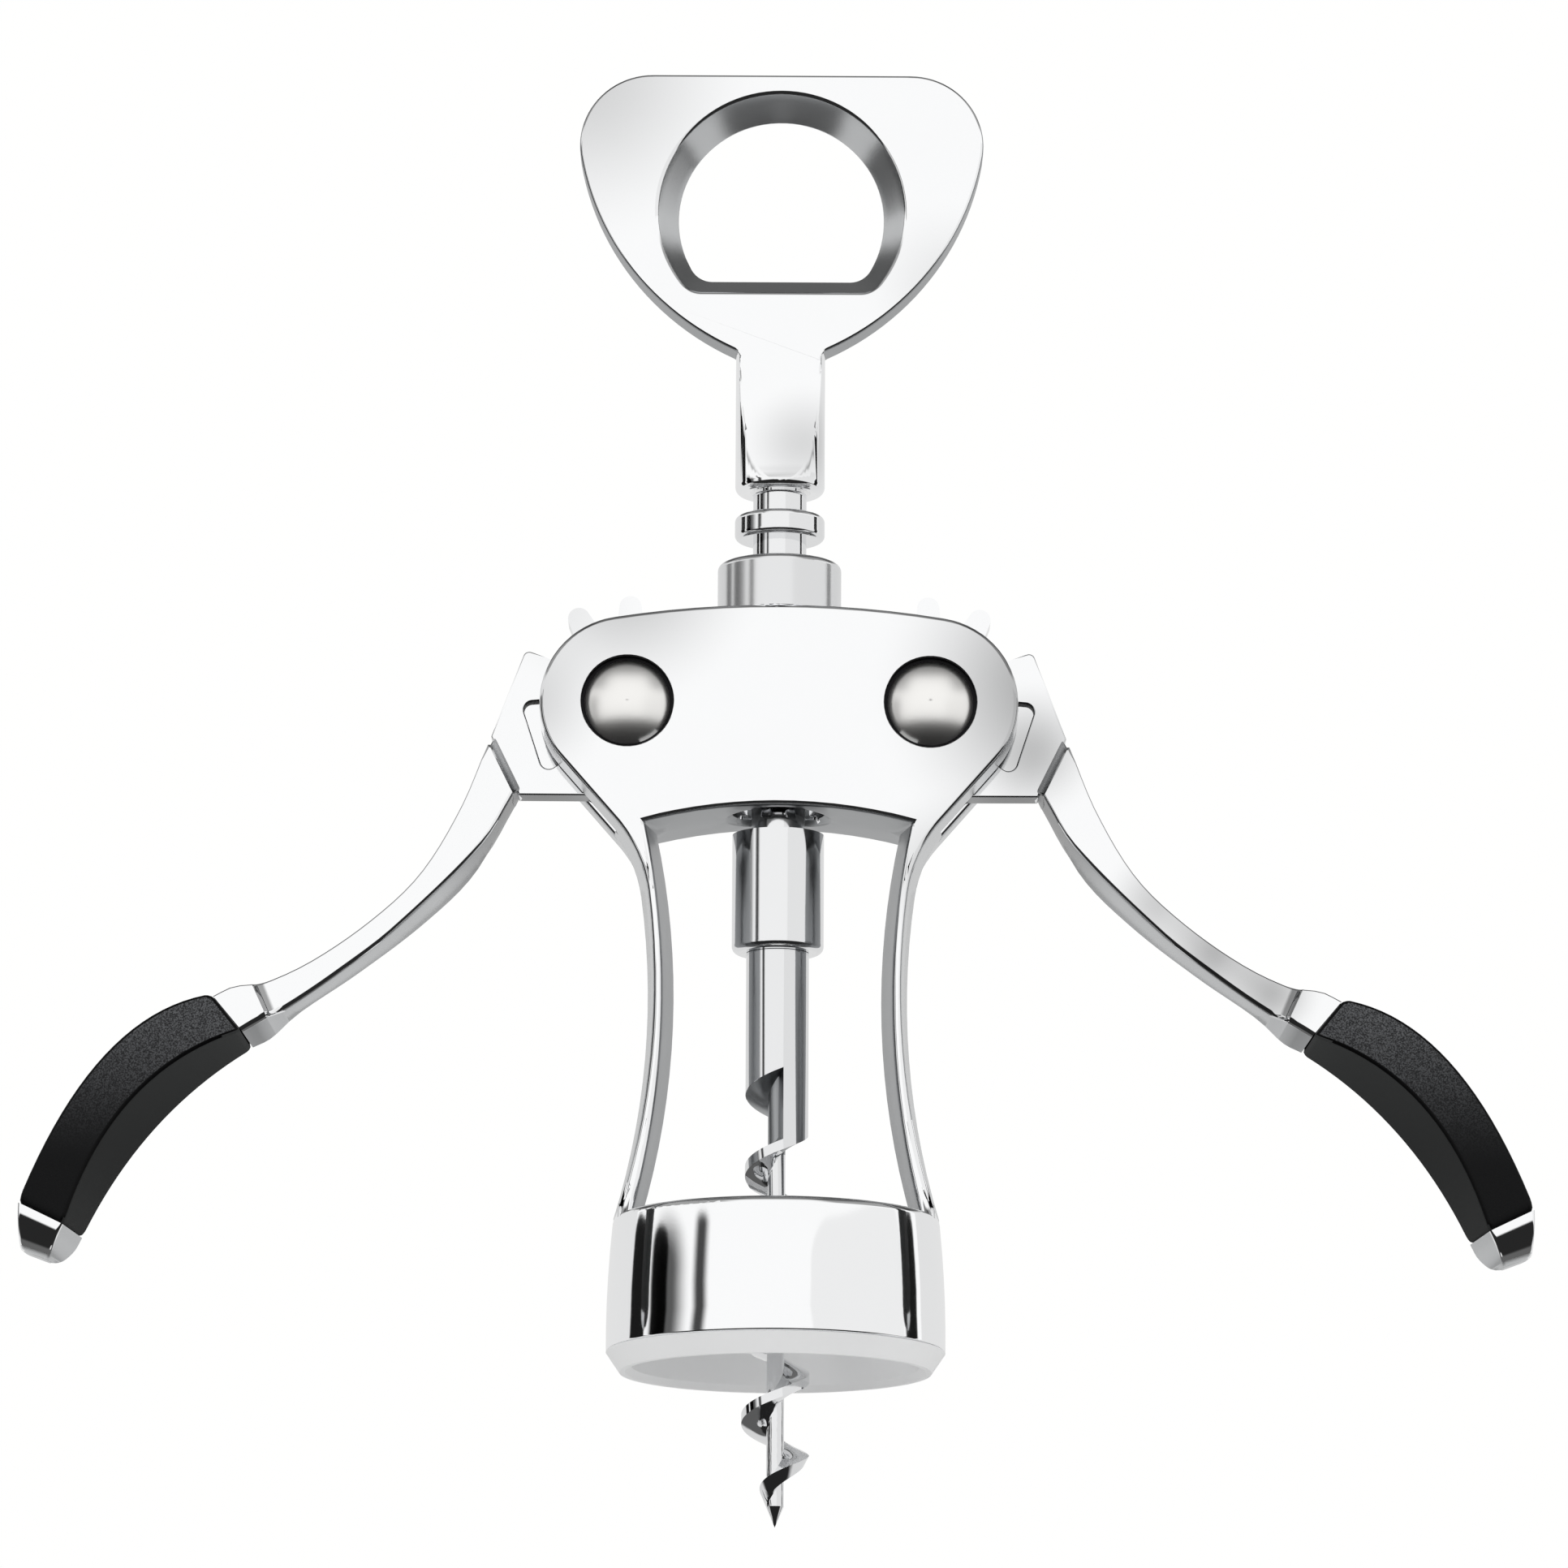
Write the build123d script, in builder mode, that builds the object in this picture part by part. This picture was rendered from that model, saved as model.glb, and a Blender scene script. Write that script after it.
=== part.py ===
from build123d import *
import os
from math import atan2, cos, degrees, radians, sin, sqrt

# Wing corkscrew: a cast frame with a bell at its foot, a round rack that slides
# through the gear housing, a worm that turns inside the rack, and two geared levers.
# The spindle stands on +Z, the front of the housing faces -Y, and the origin is the
# centre of the bell's mouth. Every length is in millimetres and every angle in degrees.

# ---- clearances and fits -------------------------------------------------------------
RUNNING = 0.05          # radial gap of a shaft that turns in its hole
SLIDING = 0.08          # radial gap round the rack where it is guided
FACE_GAP = 0.05         # between faces that turn against each other
SLOT_GAP = 0.25         # each side of the lever plate in its slot
SWEEP_GAP = 0.40        # round what swings inside the housing

# ---- bell and its liner --------------------------------------------------------------
BELL_MOUTH_R = 21.2
BELL_TOP_R = 20.4
BELL_SWELL = 0.25       # how far the side bows out between mouth and top
BELL_TOP = 19.4
BELL_EDGE = 1.0
BELL_PLATE = 2.4        # thickness of the bell's top
BELL_OPENING_R = 13.0   # the cork rises through it
BELL_BORE_R = 19.0
LIP_HEIGHT = 2.5        # of the liner, below the metal
LIP_FOOT_R = 19.5
LINER_MOUTH_R = 18.0
LINER_THROAT_R = 15.2
LIP_BEVEL = 0.8
LEDGE_R = 12.6          # opening in the ledge that the bottle's rim meets
LEDGE_HEIGHT = 2.0

# ---- frame: housing and legs ---------------------------------------------------------
PIVOT_X = 19.1
PIVOT_Z = 84.0
HOUSING_HALF = 8.5      # half the depth, front to back
HOUSING_TOP = 96.9
LOBE_R = 11.35
LOBE_DRAFT = 0.30       # how far the outline draws in from the middle to a face
SHOULDER_SLOPE = 49.0
SHOULDER_FILLET = 17.0
LEG_WAIST_Z = 47.0
LEG_OUTER_WAIST = 16.33
LEG_OUTER_ARC = 96.0
LEG_OUTER_DRAFT = 0.90
LEG_INNER_WAIST = 13.08
LEG_INNER_ARC = 101.0
LEG_INNER_DRAFT = 1.40
LEG_FOOT_HALF = 6.0     # half the leg's depth where it meets the bell
LEG_TAPER_TOP = 68.0
LEG_FOOT_SINK = 0.8     # into the bell's top
ARCH_CROWN = 70.75
ARCH_DROP = 2.2         # from the crown to the window's corners
BORE_MOUTH_R = 6.9
BORE_MOUTH_DEPTH = 1.0

# ---- rack spindle --------------------------------------------------------------------
ROLLING_R = 13.45       # of the lever's gear
TOOTH_STEP = 28.6
FIRST_TOOTH = 3.4       # the tooth that lies nearest the rack, above the level line
RING_R = 5.72
RING_THICKNESS = 3.1
RING_EDGE = 0.7
RING_COUNT = 6
RACK_ROOT_R = 3.4
SLEEVE_R = 5.8
SLEEVE_BOTTOM = 53.2
SLEEVE_TOP = 68.4
SLEEVE_EDGE = 0.9

# ---- guide bush ----------------------------------------------------------------------
BUSH_R = 7.86
BUSH_TOP = 103.5
BUSH_SINK = 2.0         # how deep it is let into the housing
BUSH_EDGE = 0.8

# ---- worm ----------------------------------------------------------------------------
SHANK_R = 2.5
SHANK_GRIP = 12.0       # length of shank held in the handle
BLANK_R = 3.96
AUGER_R = 4.25
AUGER_CORE_R = 1.1
AUGER_PITCH = 10.4
AUGER_TIP = -19.3
AUGER_TAPER_TOP = -10.3
AUGER_TAPER_MID_Z = -14.7
AUGER_TAPER_MID_R = 1.95
BLADE_EDGE = 0.7        # thickness of the blade at its rim
BLADE_ROOT = 2.6        # and at the core
BLADE_LEFT_Z = 25.4     # a crossing of the blade on the left side
FLUTE_END_ANGLE = -78.0 # where the milled flute runs out, seen from above
BLANK_END = 24.0        # the blank is full-width from here up

# ---- handle --------------------------------------------------------------------------
NECK_R = 5.7
NECK_BOTTOM = 112.8
NECK_EDGE = 1.0
HEAD_HALF = 2.5
HEAD_TOP = 168.0
HEAD_FLAT_HALF = 16.6
HEAD_WIDEST_HALF = 25.85
HEAD_WIDEST_Z = 157.2
HEAD_FLANK_X = 18.0
HEAD_FLANK_Z = 140.5
HEAD_FOOT_Z = 131.0
HEAD_FOOT_FILLET = 1.6
SCOOP_TOP = 130.0
HOLE_R = 14.5
HOLE_Z = 149.7
HOLE_FLAT_Z = 140.35
HOLE_CORNER = 3.0
HOLE_FLARE = 1.45       # how much the hole opens from the middle to each face

# ---- pivot rivets --------------------------------------------------------------------
RIVET_SHANK_R = 2.45
RIVET_CORE_R = 1.5
RIVET_HEAD_R = 5.4
RIVET_RIM = 0.6
RIVET_DOME = 1.7
RECESS_R = 5.85
RECESS_DEPTH = 1.55

# ---- levers --------------------------------------------------------------------------
# Lever outlines are drawn from the pivot: the first coordinate runs out along the arm,
# the second across it, towards the bell.
ARM_ANGLE = -140.0
PLATE_HALF = 2.1
HUB_R = 10.9
TOOTH_COUNT = 6
TOOTH_TIP_R = 15.0
TOOTH_ROUND = 1.4
TOOTH_ROOT_HALF = 1.85
PLATE_CORNER = (4.9, -14.5)
PLATE_SHOULDER = (15.4, -8.6)
PLATE_HEEL = (17.5, -0.5)
PLATE_TOE = (2.8, -10.6)
PLATE_ROUND = 0.8
POCKET_DEPTH = 1.2
POCKET_INNER_R = 8.3
POCKET_ROUND = 1.1
ARM_HALF = 4.6
ARM_RIDGE = 0.4         # how far the outer side stands out at the middle
ARM_DIP_HALF = 3.5      # half the arm's depth where it is thinnest
ARM_END = 63.6
STEP_LEAN = 0.4         # lean of the step from plate to arm, per mm of depth
ARM_OUTER = [(16.6, -7.7), (24.6, -3.4), (33.6, -0.2), (41.9, 0.3), (51.2, -0.65), (ARM_END, -4.5)]
ARM_INNER_FACE = [(18.3, -0.6), (25.1, 1.8), (41.0, 3.2), (51.8, 2.35), (ARM_END, 1.0)]
ARM_INNER_MIDDLE = [(18.7, -0.5), (27.8, 3.7), (37.0, 4.55), (47.6, 3.9), (ARM_END, 2.8)]
ARM_DIP = [(30.0, ARM_HALF), (44.0, 3.9), (56.5, ARM_DIP_HALF), (59.5, 3.9), (61.5, ARM_HALF)]
PLATE_POCKET = [(4.4, -5.9), (9.7, -9.6), (13.3, -0.6), (7.0, 0.1)]
CLOSED_TURN = 38.0      # how far the arms swing in, to the bell
GRIP_HALF = 5.3
GRIP_CROWN = 0.35
GRIP_EDGE = 0.5
GRIP_OUTER = [(ARM_END, -4.9), (78.7, -7.86), (98.8, -0.1)]
GRIP_INNER = [(ARM_END, 3.0), (79.4, 3.05), (95.15, 8.0)]
GRIP_FACE_INNER = [(ARM_END, 1.1), (79.5, -0.97), (96.1, 5.9)]
CAP_SEAM = 0.2
CAP_CORNER = (102.6, 5.2)
CAP_TIP = (100.3, 9.1)
CAP_TIP_FACE = (100.1, 8.8)
CAP_ROUND = 1.2
TANG_LINE = [(ARM_END, -1.0), (80.0, -2.5), (98.3, 4.9)]
TANG_THICKNESS = 3.0
TANG_HALF = 2.6

# ---- worked out from the sizes above -------------------------------------------------
RACK_STEP = ROLLING_R * radians(TOOTH_STEP)
FIRST_GAP_Z = PIVOT_Z + ROLLING_R * radians(FIRST_TOOTH)
TOP_RING_Z = FIRST_GAP_Z + 3.5 * RACK_STEP
GUIDE_R = SLEEVE_R + SLIDING
LINER_LEDGE_Z = BELL_TOP - BELL_PLATE - LEDGE_HEIGHT
BUSH_SEAT_Z = HOUSING_TOP - BUSH_SINK
SLOT_HALF = PLATE_HALF + SLOT_GAP
SWEEP_R = TOOTH_TIP_R + SWEEP_GAP / 2
RECESS_FLOOR = HOUSING_HALF - RECESS_DEPTH
PIVOT_LEFT = (-PIVOT_X, PIVOT_Z)
PIVOT_RIGHT = (PIVOT_X, PIVOT_Z)
BORE_MOUTH_Z = ARCH_CROWN - BORE_MOUTH_DEPTH / 2
BORE_START_Z = ARCH_CROWN - 2 * ARCH_DROP
RACK_TOP_Z = NECK_BOTTOM - FACE_GAP
RACK_LENGTH = RACK_TOP_Z - SLEEVE_BOTTOM
HEAD_APEX = RECESS_FLOOR + RIVET_RIM + RIVET_DOME
TONGUE_HALF = sqrt(NECK_R**2 - HEAD_HALF**2)
TEETH_START = FIRST_TOOTH - TOOTH_STEP
TOOTH_ROOT_X = HUB_R - 1 - (TOOTH_TIP_R - TOOTH_ROUND)
GROOVE_TURNS = 5.75
GROOVE_OUTER_R = AUGER_R + 1
BLANK_TOP = SLEEVE_BOTTOM - FACE_GAP
SHANK_TOP = NECK_BOTTOM + SHANK_GRIP
GROOVE_TOP_Z = BLADE_LEFT_Z + AUGER_PITCH * (FLUTE_END_ANGLE + 180) / 360
GROOVE_PLACE = Location(
    (0, 0, GROOVE_TOP_Z - GROOVE_TURNS * AUGER_PITCH),
    (0, 0, FLUTE_END_ANGLE - 360 * GROOVE_TURNS),
)


def lever_plane(angle):
    """The left lever's own plane, with its arm pointing along the given angle."""
    along = (cos(radians(angle)), 0, sin(radians(angle)))
    return Plane(origin=(-PIVOT_X, 0, PIVOT_Z), x_dir=along, z_dir=(0, -1, 0))


ARM_PLANE = lever_plane(ARM_ANGLE)
GEAR_PLANE = lever_plane(0)
RIVET_PLANE = Plane(origin=(-PIVOT_X, 0, PIVOT_Z), x_dir=(1, 0, 0), z_dir=(0, 0, 1))
PIVOT_AXIS = Axis((-PIVOT_X, 0, PIVOT_Z), (0, 1, 0))


def frame_outline(draft):
    """Housing, shoulders and legs; draft runs from 0 at the middle to 1 at a face."""
    plane = Plane.XZ.offset(draft * HOUSING_HALF)
    lobe = LOBE_R - draft * LOBE_DRAFT
    rise = HOUSING_TOP - PIVOT_Z - draft * LOBE_DRAFT
    crown_r = (PIVOT_X**2 + rise**2 - lobe**2) / (2 * (rise - lobe))
    crown_z = PIVOT_Z + rise - crown_r
    meeting = degrees(atan2(PIVOT_Z - crown_z, -PIVOT_X))
    shoulder_at = 270 - SHOULDER_SLOPE
    waist = LEG_OUTER_WAIST - draft * LEG_OUTER_DRAFT
    leg_centre = Vector(-waist - LEG_OUTER_ARC, LEG_WAIST_Z)
    foot_z = BELL_TOP - LEG_FOOT_SINK
    foot_x = leg_centre.X + sqrt(LEG_OUTER_ARC**2 - (LEG_WAIST_Z - foot_z) ** 2)
    with BuildSketch(plane) as outline:
        with BuildLine():
            CenterArc((0, crown_z), crown_r, 90, meeting - 90)
            lobe_arc = CenterArc(PIVOT_LEFT, lobe, meeting, shoulder_at - meeting)
            start = lobe_arc @ 1
            slope = Vector(cos(radians(SHOULDER_SLOPE)), -sin(radians(SHOULDER_SLOPE)))
            back = slope.dot(start - leg_centre)
            reach = sqrt(back**2 - (start - leg_centre).length ** 2 + LEG_OUTER_ARC**2) - back
            root = start + slope * reach
            Line(start, root)
            ThreePointArc(root, (-waist, LEG_WAIST_Z), (foot_x, foot_z))
            Polyline((foot_x, foot_z), (0, foot_z), (0, crown_z + crown_r))
        make_face()
        fillet(outline.vertices().sort_by_distance(root)[0], radius=SHOULDER_FILLET)
        mirror(about=Plane.YZ)
    return outline.sketch


def window_outline(draft):
    """The opening between the legs, under the arch, down through the bell's top."""
    plane = Plane.XZ.offset(draft * HOUSING_HALF)
    waist = LEG_INNER_WAIST + draft * LEG_INNER_DRAFT
    corner_z = ARCH_CROWN - ARCH_DROP
    foot_z = BELL_TOP - BELL_PLATE - 1
    centre_x = waist + LEG_INNER_ARC
    corner_x = centre_x - sqrt(LEG_INNER_ARC**2 - (corner_z - LEG_WAIST_Z) ** 2)
    foot_x = centre_x - sqrt(LEG_INNER_ARC**2 - (foot_z - LEG_WAIST_Z) ** 2)
    with BuildSketch(plane) as outline:
        with BuildLine():
            ThreePointArc((-corner_x, corner_z), (0, ARCH_CROWN), (corner_x, corner_z))
            ThreePointArc((corner_x, corner_z), (waist, LEG_WAIST_Z), (foot_x, foot_z))
            Line((foot_x, foot_z), (-foot_x, foot_z))
            ThreePointArc((-foot_x, foot_z), (-waist, LEG_WAIST_Z), (-corner_x, corner_z))
        make_face()
    return outline.sketch


def plate_outline(plane):
    """The lever's flat plate round its hub, without the teeth."""
    away = degrees(atan2(PLATE_HEEL[1], PLATE_HEEL[0]))
    heel_r = sqrt(PLATE_HEEL[0] ** 2 + PLATE_HEEL[1] ** 2)
    turn = away + degrees(atan2(sqrt(heel_r**2 - HUB_R**2), HUB_R))
    tangent = (HUB_R * cos(radians(turn)), HUB_R * sin(radians(turn)))
    with BuildSketch(plane) as outline:
        Circle(HUB_R)
        with BuildLine():
            Polyline((0, 0), PLATE_TOE, PLATE_CORNER, PLATE_SHOULDER, PLATE_HEEL, tangent, close=True)
        make_face()
        fillet(outline.vertices().sort_by_distance(PLATE_CORNER)[0], radius=PLATE_ROUND)
    return outline.sketch


def arm_outline(depth, outer_rise, inner_points):
    """One level of the arm: its outer side, its inner side and the step on the plate."""
    lean = STEP_LEAN * (depth - ARM_HALF)
    with BuildSketch(ARM_PLANE.offset(depth)) as outline:
        with BuildLine():
            outer = Spline([(x, y - outer_rise) for x, y in ARM_OUTER])
            inner = Spline([(inner_points[0][0] + lean, inner_points[0][1]), *inner_points[1:]])
            Line(outer @ 0, inner @ 0)
            Line(outer @ 1, inner @ 1)
        make_face()
    return outline.sketch


def grip_outline(depth, crown, inner):
    """One level of the grip, between its outer and inner curves."""
    with BuildSketch(ARM_PLANE.offset(depth)) as outline:
        with BuildLine():
            outer_arc = ThreePointArc([(x, y + crown) for x, y in GRIP_OUTER])
            inner_arc = ThreePointArc(inner)
            Line(outer_arc @ 0, inner_arc @ 0)
            Line(outer_arc @ 1, inner_arc @ 1)
        make_face()
    return outline.sketch


def cap_outline(depth, crown, start_inner, tip):
    """One level of the end cap, on from the end of the grip."""
    start = Vector(*GRIP_OUTER[2]) + (0, crown)
    along = (Vector(*CAP_CORNER) - start).normalized() * CAP_SEAM
    with BuildSketch(ARM_PLANE.offset(depth)) as outline:
        with BuildLine():
            Polyline(start + along, CAP_CORNER, tip, Vector(*start_inner) + along, close=True)
        make_face()
        fillet(outline.vertices().sort_by_distance(CAP_CORNER)[0], CAP_ROUND)
    return outline.sketch


def hole_outline(draft):
    """The opener's hole: a circle cut off flat below, at the middle or at a face."""
    radius = HOLE_R + draft * HOLE_FLARE
    flat_z = HOLE_FLAT_Z - draft * HOLE_FLARE
    with BuildSketch(Plane.XZ.offset(draft * HEAD_HALF)) as outline:
        with Locations((0, HOLE_Z)):
            Circle(radius)
        with Locations((0, flat_z)):
            Rectangle(3 * radius, 3 * radius, align=(Align.CENTER, Align.MIN), mode=Mode.INTERSECT)
        fillet(outline.vertices(), HOLE_CORNER)
    return outline.sketch


# ---- frame ---------------------------------------------------------------------------
# what the left lever needs inside the housing: room for its gear, and for the plate
# where the closed arm brings it in to the leg
with BuildPart() as lever_room:
    with BuildSketch(GEAR_PLANE):
        Circle(SWEEP_R)
    extrude(amount=SLOT_HALF, both=True)
    with BuildSketch() as swung_plate:
        add(plate_outline(Plane.XY))
        offset(amount=SWEEP_GAP)
    with BuildSketch(lever_plane(ARM_ANGLE + CLOSED_TURN)):
        add(swung_plate.sketch)
    extrude(amount=SLOT_HALF, both=True)

with BuildPart() as frame:
    # housing and legs, drafted from the middle to the face, less the window
    loft([frame_outline(0), frame_outline(1)], ruled=True)
    loft([window_outline(0), window_outline(2)], ruled=True, mode=Mode.SUBTRACT)
    mirror(about=Plane.XZ)
    # seen from the side the legs taper down to the bell
    with BuildSketch(Plane.YZ):
        with BuildLine():
            edge = Polyline((0, HOUSING_TOP), (HOUSING_HALF, HOUSING_TOP), (HOUSING_HALF, LEG_TAPER_TOP))
            flank = TangentArc(edge @ 1, (LEG_FOOT_HALF, BELL_TOP - BELL_PLATE), tangent=(0, -1))
            Polyline(flank @ 1, (0, BELL_TOP - BELL_PLATE), (0, HOUSING_TOP))
        make_face()
        mirror(about=Plane.YZ)
    extrude(amount=2 * PIVOT_X, both=True, mode=Mode.INTERSECT)
    # the feet of the legs end flush with the bell's side
    with BuildSketch(Plane.XZ):
        with Locations((BELL_TOP_R, BELL_TOP - BELL_EDGE)):
            Rectangle(BELL_MOUTH_R, 2 * BELL_EDGE, align=(Align.MIN, Align.MIN))
    revolve(axis=Axis.Z, mode=Mode.SUBTRACT)
    # bell: the shell, its top and the opening in it
    with BuildSketch(Plane.XZ) as bell_profile:
        with BuildLine():
            side = ThreePointArc(
                (BELL_MOUTH_R, LIP_HEIGHT),
                ((BELL_MOUTH_R + BELL_TOP_R) / 2 + BELL_SWELL, (LIP_HEIGHT + BELL_TOP) / 2),
                (BELL_TOP_R, BELL_TOP),
            )
            Polyline(
                side @ 1,
                (BELL_OPENING_R, BELL_TOP),
                (BELL_OPENING_R, BELL_TOP - BELL_PLATE),
                (BELL_BORE_R, BELL_TOP - BELL_PLATE),
                (BELL_BORE_R, LIP_HEIGHT),
                side @ 0,
            )
        make_face()
        fillet(bell_profile.vertices().sort_by_distance((BELL_TOP_R, BELL_TOP))[0], BELL_EDGE)
    revolve(axis=Axis.Z)
    # bore for the rack, its bevelled mouth, and the seat of the guide bush
    with BuildSketch(Plane.XZ):
        with BuildLine():
            Polyline(
                (0, BORE_START_Z),
                (BORE_MOUTH_R, BORE_START_Z),
                (BORE_MOUTH_R, BORE_MOUTH_Z),
                (GUIDE_R, BORE_MOUTH_Z + BORE_MOUTH_DEPTH),
                (GUIDE_R, BUSH_SEAT_Z),
                (BUSH_R, BUSH_SEAT_Z),
                (BUSH_R, HOUSING_TOP + 1),
                (0, HOUSING_TOP + 1),
                close=True,
            )
        make_face()
    revolve(axis=Axis.Z, mode=Mode.SUBTRACT)
    # slots for the levers
    add(lever_room.part, mode=Mode.SUBTRACT)
    mirror(lever_room.part, about=Plane.YZ, mode=Mode.SUBTRACT)
    # rivet holes, and the round recesses that the rivet heads lie in
    with BuildSketch(Plane.XZ):
        with Locations(PIVOT_LEFT, PIVOT_RIGHT):
            Circle(RIVET_SHANK_R)
    extrude(amount=HOUSING_HALF + 1, both=True, mode=Mode.SUBTRACT)
    for facing in (1, -1):
        with BuildSketch(Plane.XZ.offset(facing * RECESS_FLOOR)):
            with Locations(PIVOT_LEFT, PIVOT_RIGHT):
                Circle(RECESS_R)
        extrude(amount=facing * (RECESS_DEPTH + 1), mode=Mode.SUBTRACT)
frame.part.label = "frame"

# ---- guide bush ----------------------------------------------------------------------
with BuildPart() as guide_bush:
    with BuildSketch(Plane.XZ) as bush_wall:
        with Locations((GUIDE_R, BUSH_SEAT_Z)):
            Rectangle(BUSH_R - GUIDE_R, BUSH_TOP - BUSH_SEAT_Z, align=(Align.MIN, Align.MIN))
        fillet(bush_wall.vertices().sort_by_distance((BUSH_R, BUSH_TOP))[0], BUSH_EDGE)
    revolve(axis=Axis.Z)
guide_bush.part.label = "guide_bush"

# ---- bell liner ----------------------------------------------------------------------
with BuildPart() as bell_liner:
    with BuildSketch(Plane.XZ):
        with BuildLine():
            Polyline(
                (LINER_MOUTH_R + LIP_BEVEL, 0),
                (LIP_FOOT_R, 0),
                (BELL_MOUTH_R, LIP_HEIGHT),
                (BELL_BORE_R, LIP_HEIGHT),
                (BELL_BORE_R, BELL_TOP - BELL_PLATE),
                (LEDGE_R, BELL_TOP - BELL_PLATE),
                (LEDGE_R, LINER_LEDGE_Z),
                (LINER_THROAT_R, LINER_LEDGE_Z),
                (LINER_MOUTH_R, LIP_BEVEL),
                close=True,
            )
        make_face()
    revolve(axis=Axis.Z)
bell_liner.part.label = "bell_liner"

# ---- rack spindle --------------------------------------------------------------------
with BuildPart() as rack_spindle:
    with BuildSketch(Plane.XZ) as rack_profile:
        # the root shaft from the sleeve up to the handle
        with Locations((0, SLEEVE_TOP)):
            Rectangle(RACK_ROOT_R, RACK_TOP_Z - SLEEVE_TOP, align=(Align.MIN, Align.MIN))
        # the sleeve
        with Locations((0, SLEEVE_BOTTOM)):
            Rectangle(SLEEVE_R, SLEEVE_TOP - SLEEVE_BOTTOM, align=(Align.MIN, Align.MIN))
        fillet(rack_profile.vertices().sort_by_distance((SLEEVE_R, SLEEVE_BOTTOM))[0], SLEEVE_EDGE)
        # the ring teeth
        for count in range(RING_COUNT):
            with Locations((0, TOP_RING_Z - count * RACK_STEP)):
                Rectangle(RING_R, RING_THICKNESS, align=(Align.MIN, Align.CENTER))
        ring_corners = rack_profile.vertices().filter_by_position(Axis.X, RING_R - 0.01, RING_R + 0.01)
        fillet(ring_corners, RING_EDGE)
        # the bore that the worm's shank turns in
        with Locations((0, SLEEVE_BOTTOM)):
            Rectangle(SHANK_R + RUNNING, RACK_LENGTH, align=(Align.MIN, Align.MIN), mode=Mode.SUBTRACT)
    revolve(axis=Axis.Z)
rack_spindle.part.label = "rack_spindle"

# ---- worm ----------------------------------------------------------------------------
# The groove that is milled round the blank leaves the blade and the core of the auger.
with BuildPart() as auger_groove:
    with BuildLine() as groove_path:
        Helix(AUGER_PITCH, GROOVE_TURNS * AUGER_PITCH, AUGER_R, center=(0, 0, 0))
    with BuildSketch(Plane.XZ):
        with BuildLine():
            Polyline(
                (AUGER_CORE_R, BLADE_ROOT / 2),
                (GROOVE_OUTER_R, BLADE_EDGE / 2),
                (GROOVE_OUTER_R, AUGER_PITCH - BLADE_EDGE / 2),
                (AUGER_CORE_R, AUGER_PITCH - BLADE_ROOT / 2),
                close=True,
            )
        make_face()
    sweep(path=groove_path.line, is_frenet=True)

with BuildPart() as worm:
    # the round bar with its groove
    with Locations((0, 0, AUGER_TIP)):
        Cylinder(AUGER_R, BLANK_TOP - AUGER_TIP, align=(Align.CENTER, Align.CENTER, Align.MIN))
    add(auger_groove.part.moved(GROOVE_PLACE), mode=Mode.SUBTRACT)
    # ground to a point below and down to the plain blank above
    with BuildSketch(Plane.XZ):
        with BuildLine():
            Polyline(
                (0, AUGER_TIP),
                (AUGER_TAPER_MID_R, AUGER_TAPER_MID_Z),
                (AUGER_R, AUGER_TAPER_TOP),
                (GROOVE_OUTER_R, AUGER_TAPER_TOP + 2),
                (GROOVE_OUTER_R, BLANK_END - (GROOVE_OUTER_R - BLANK_R)),
                (BLANK_R, BLANK_END),
                (BLANK_R, BLANK_TOP),
                (0, BLANK_TOP),
                close=True,
            )
        make_face()
    revolve(axis=Axis.Z, mode=Mode.INTERSECT)
    # the shank that runs up through the rack into the handle
    with Locations((0, 0, BLANK_TOP)):
        Cylinder(SHANK_R, SHANK_TOP - BLANK_TOP, align=(Align.CENTER, Align.CENTER, Align.MIN))
worm.part.label = "worm"

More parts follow.
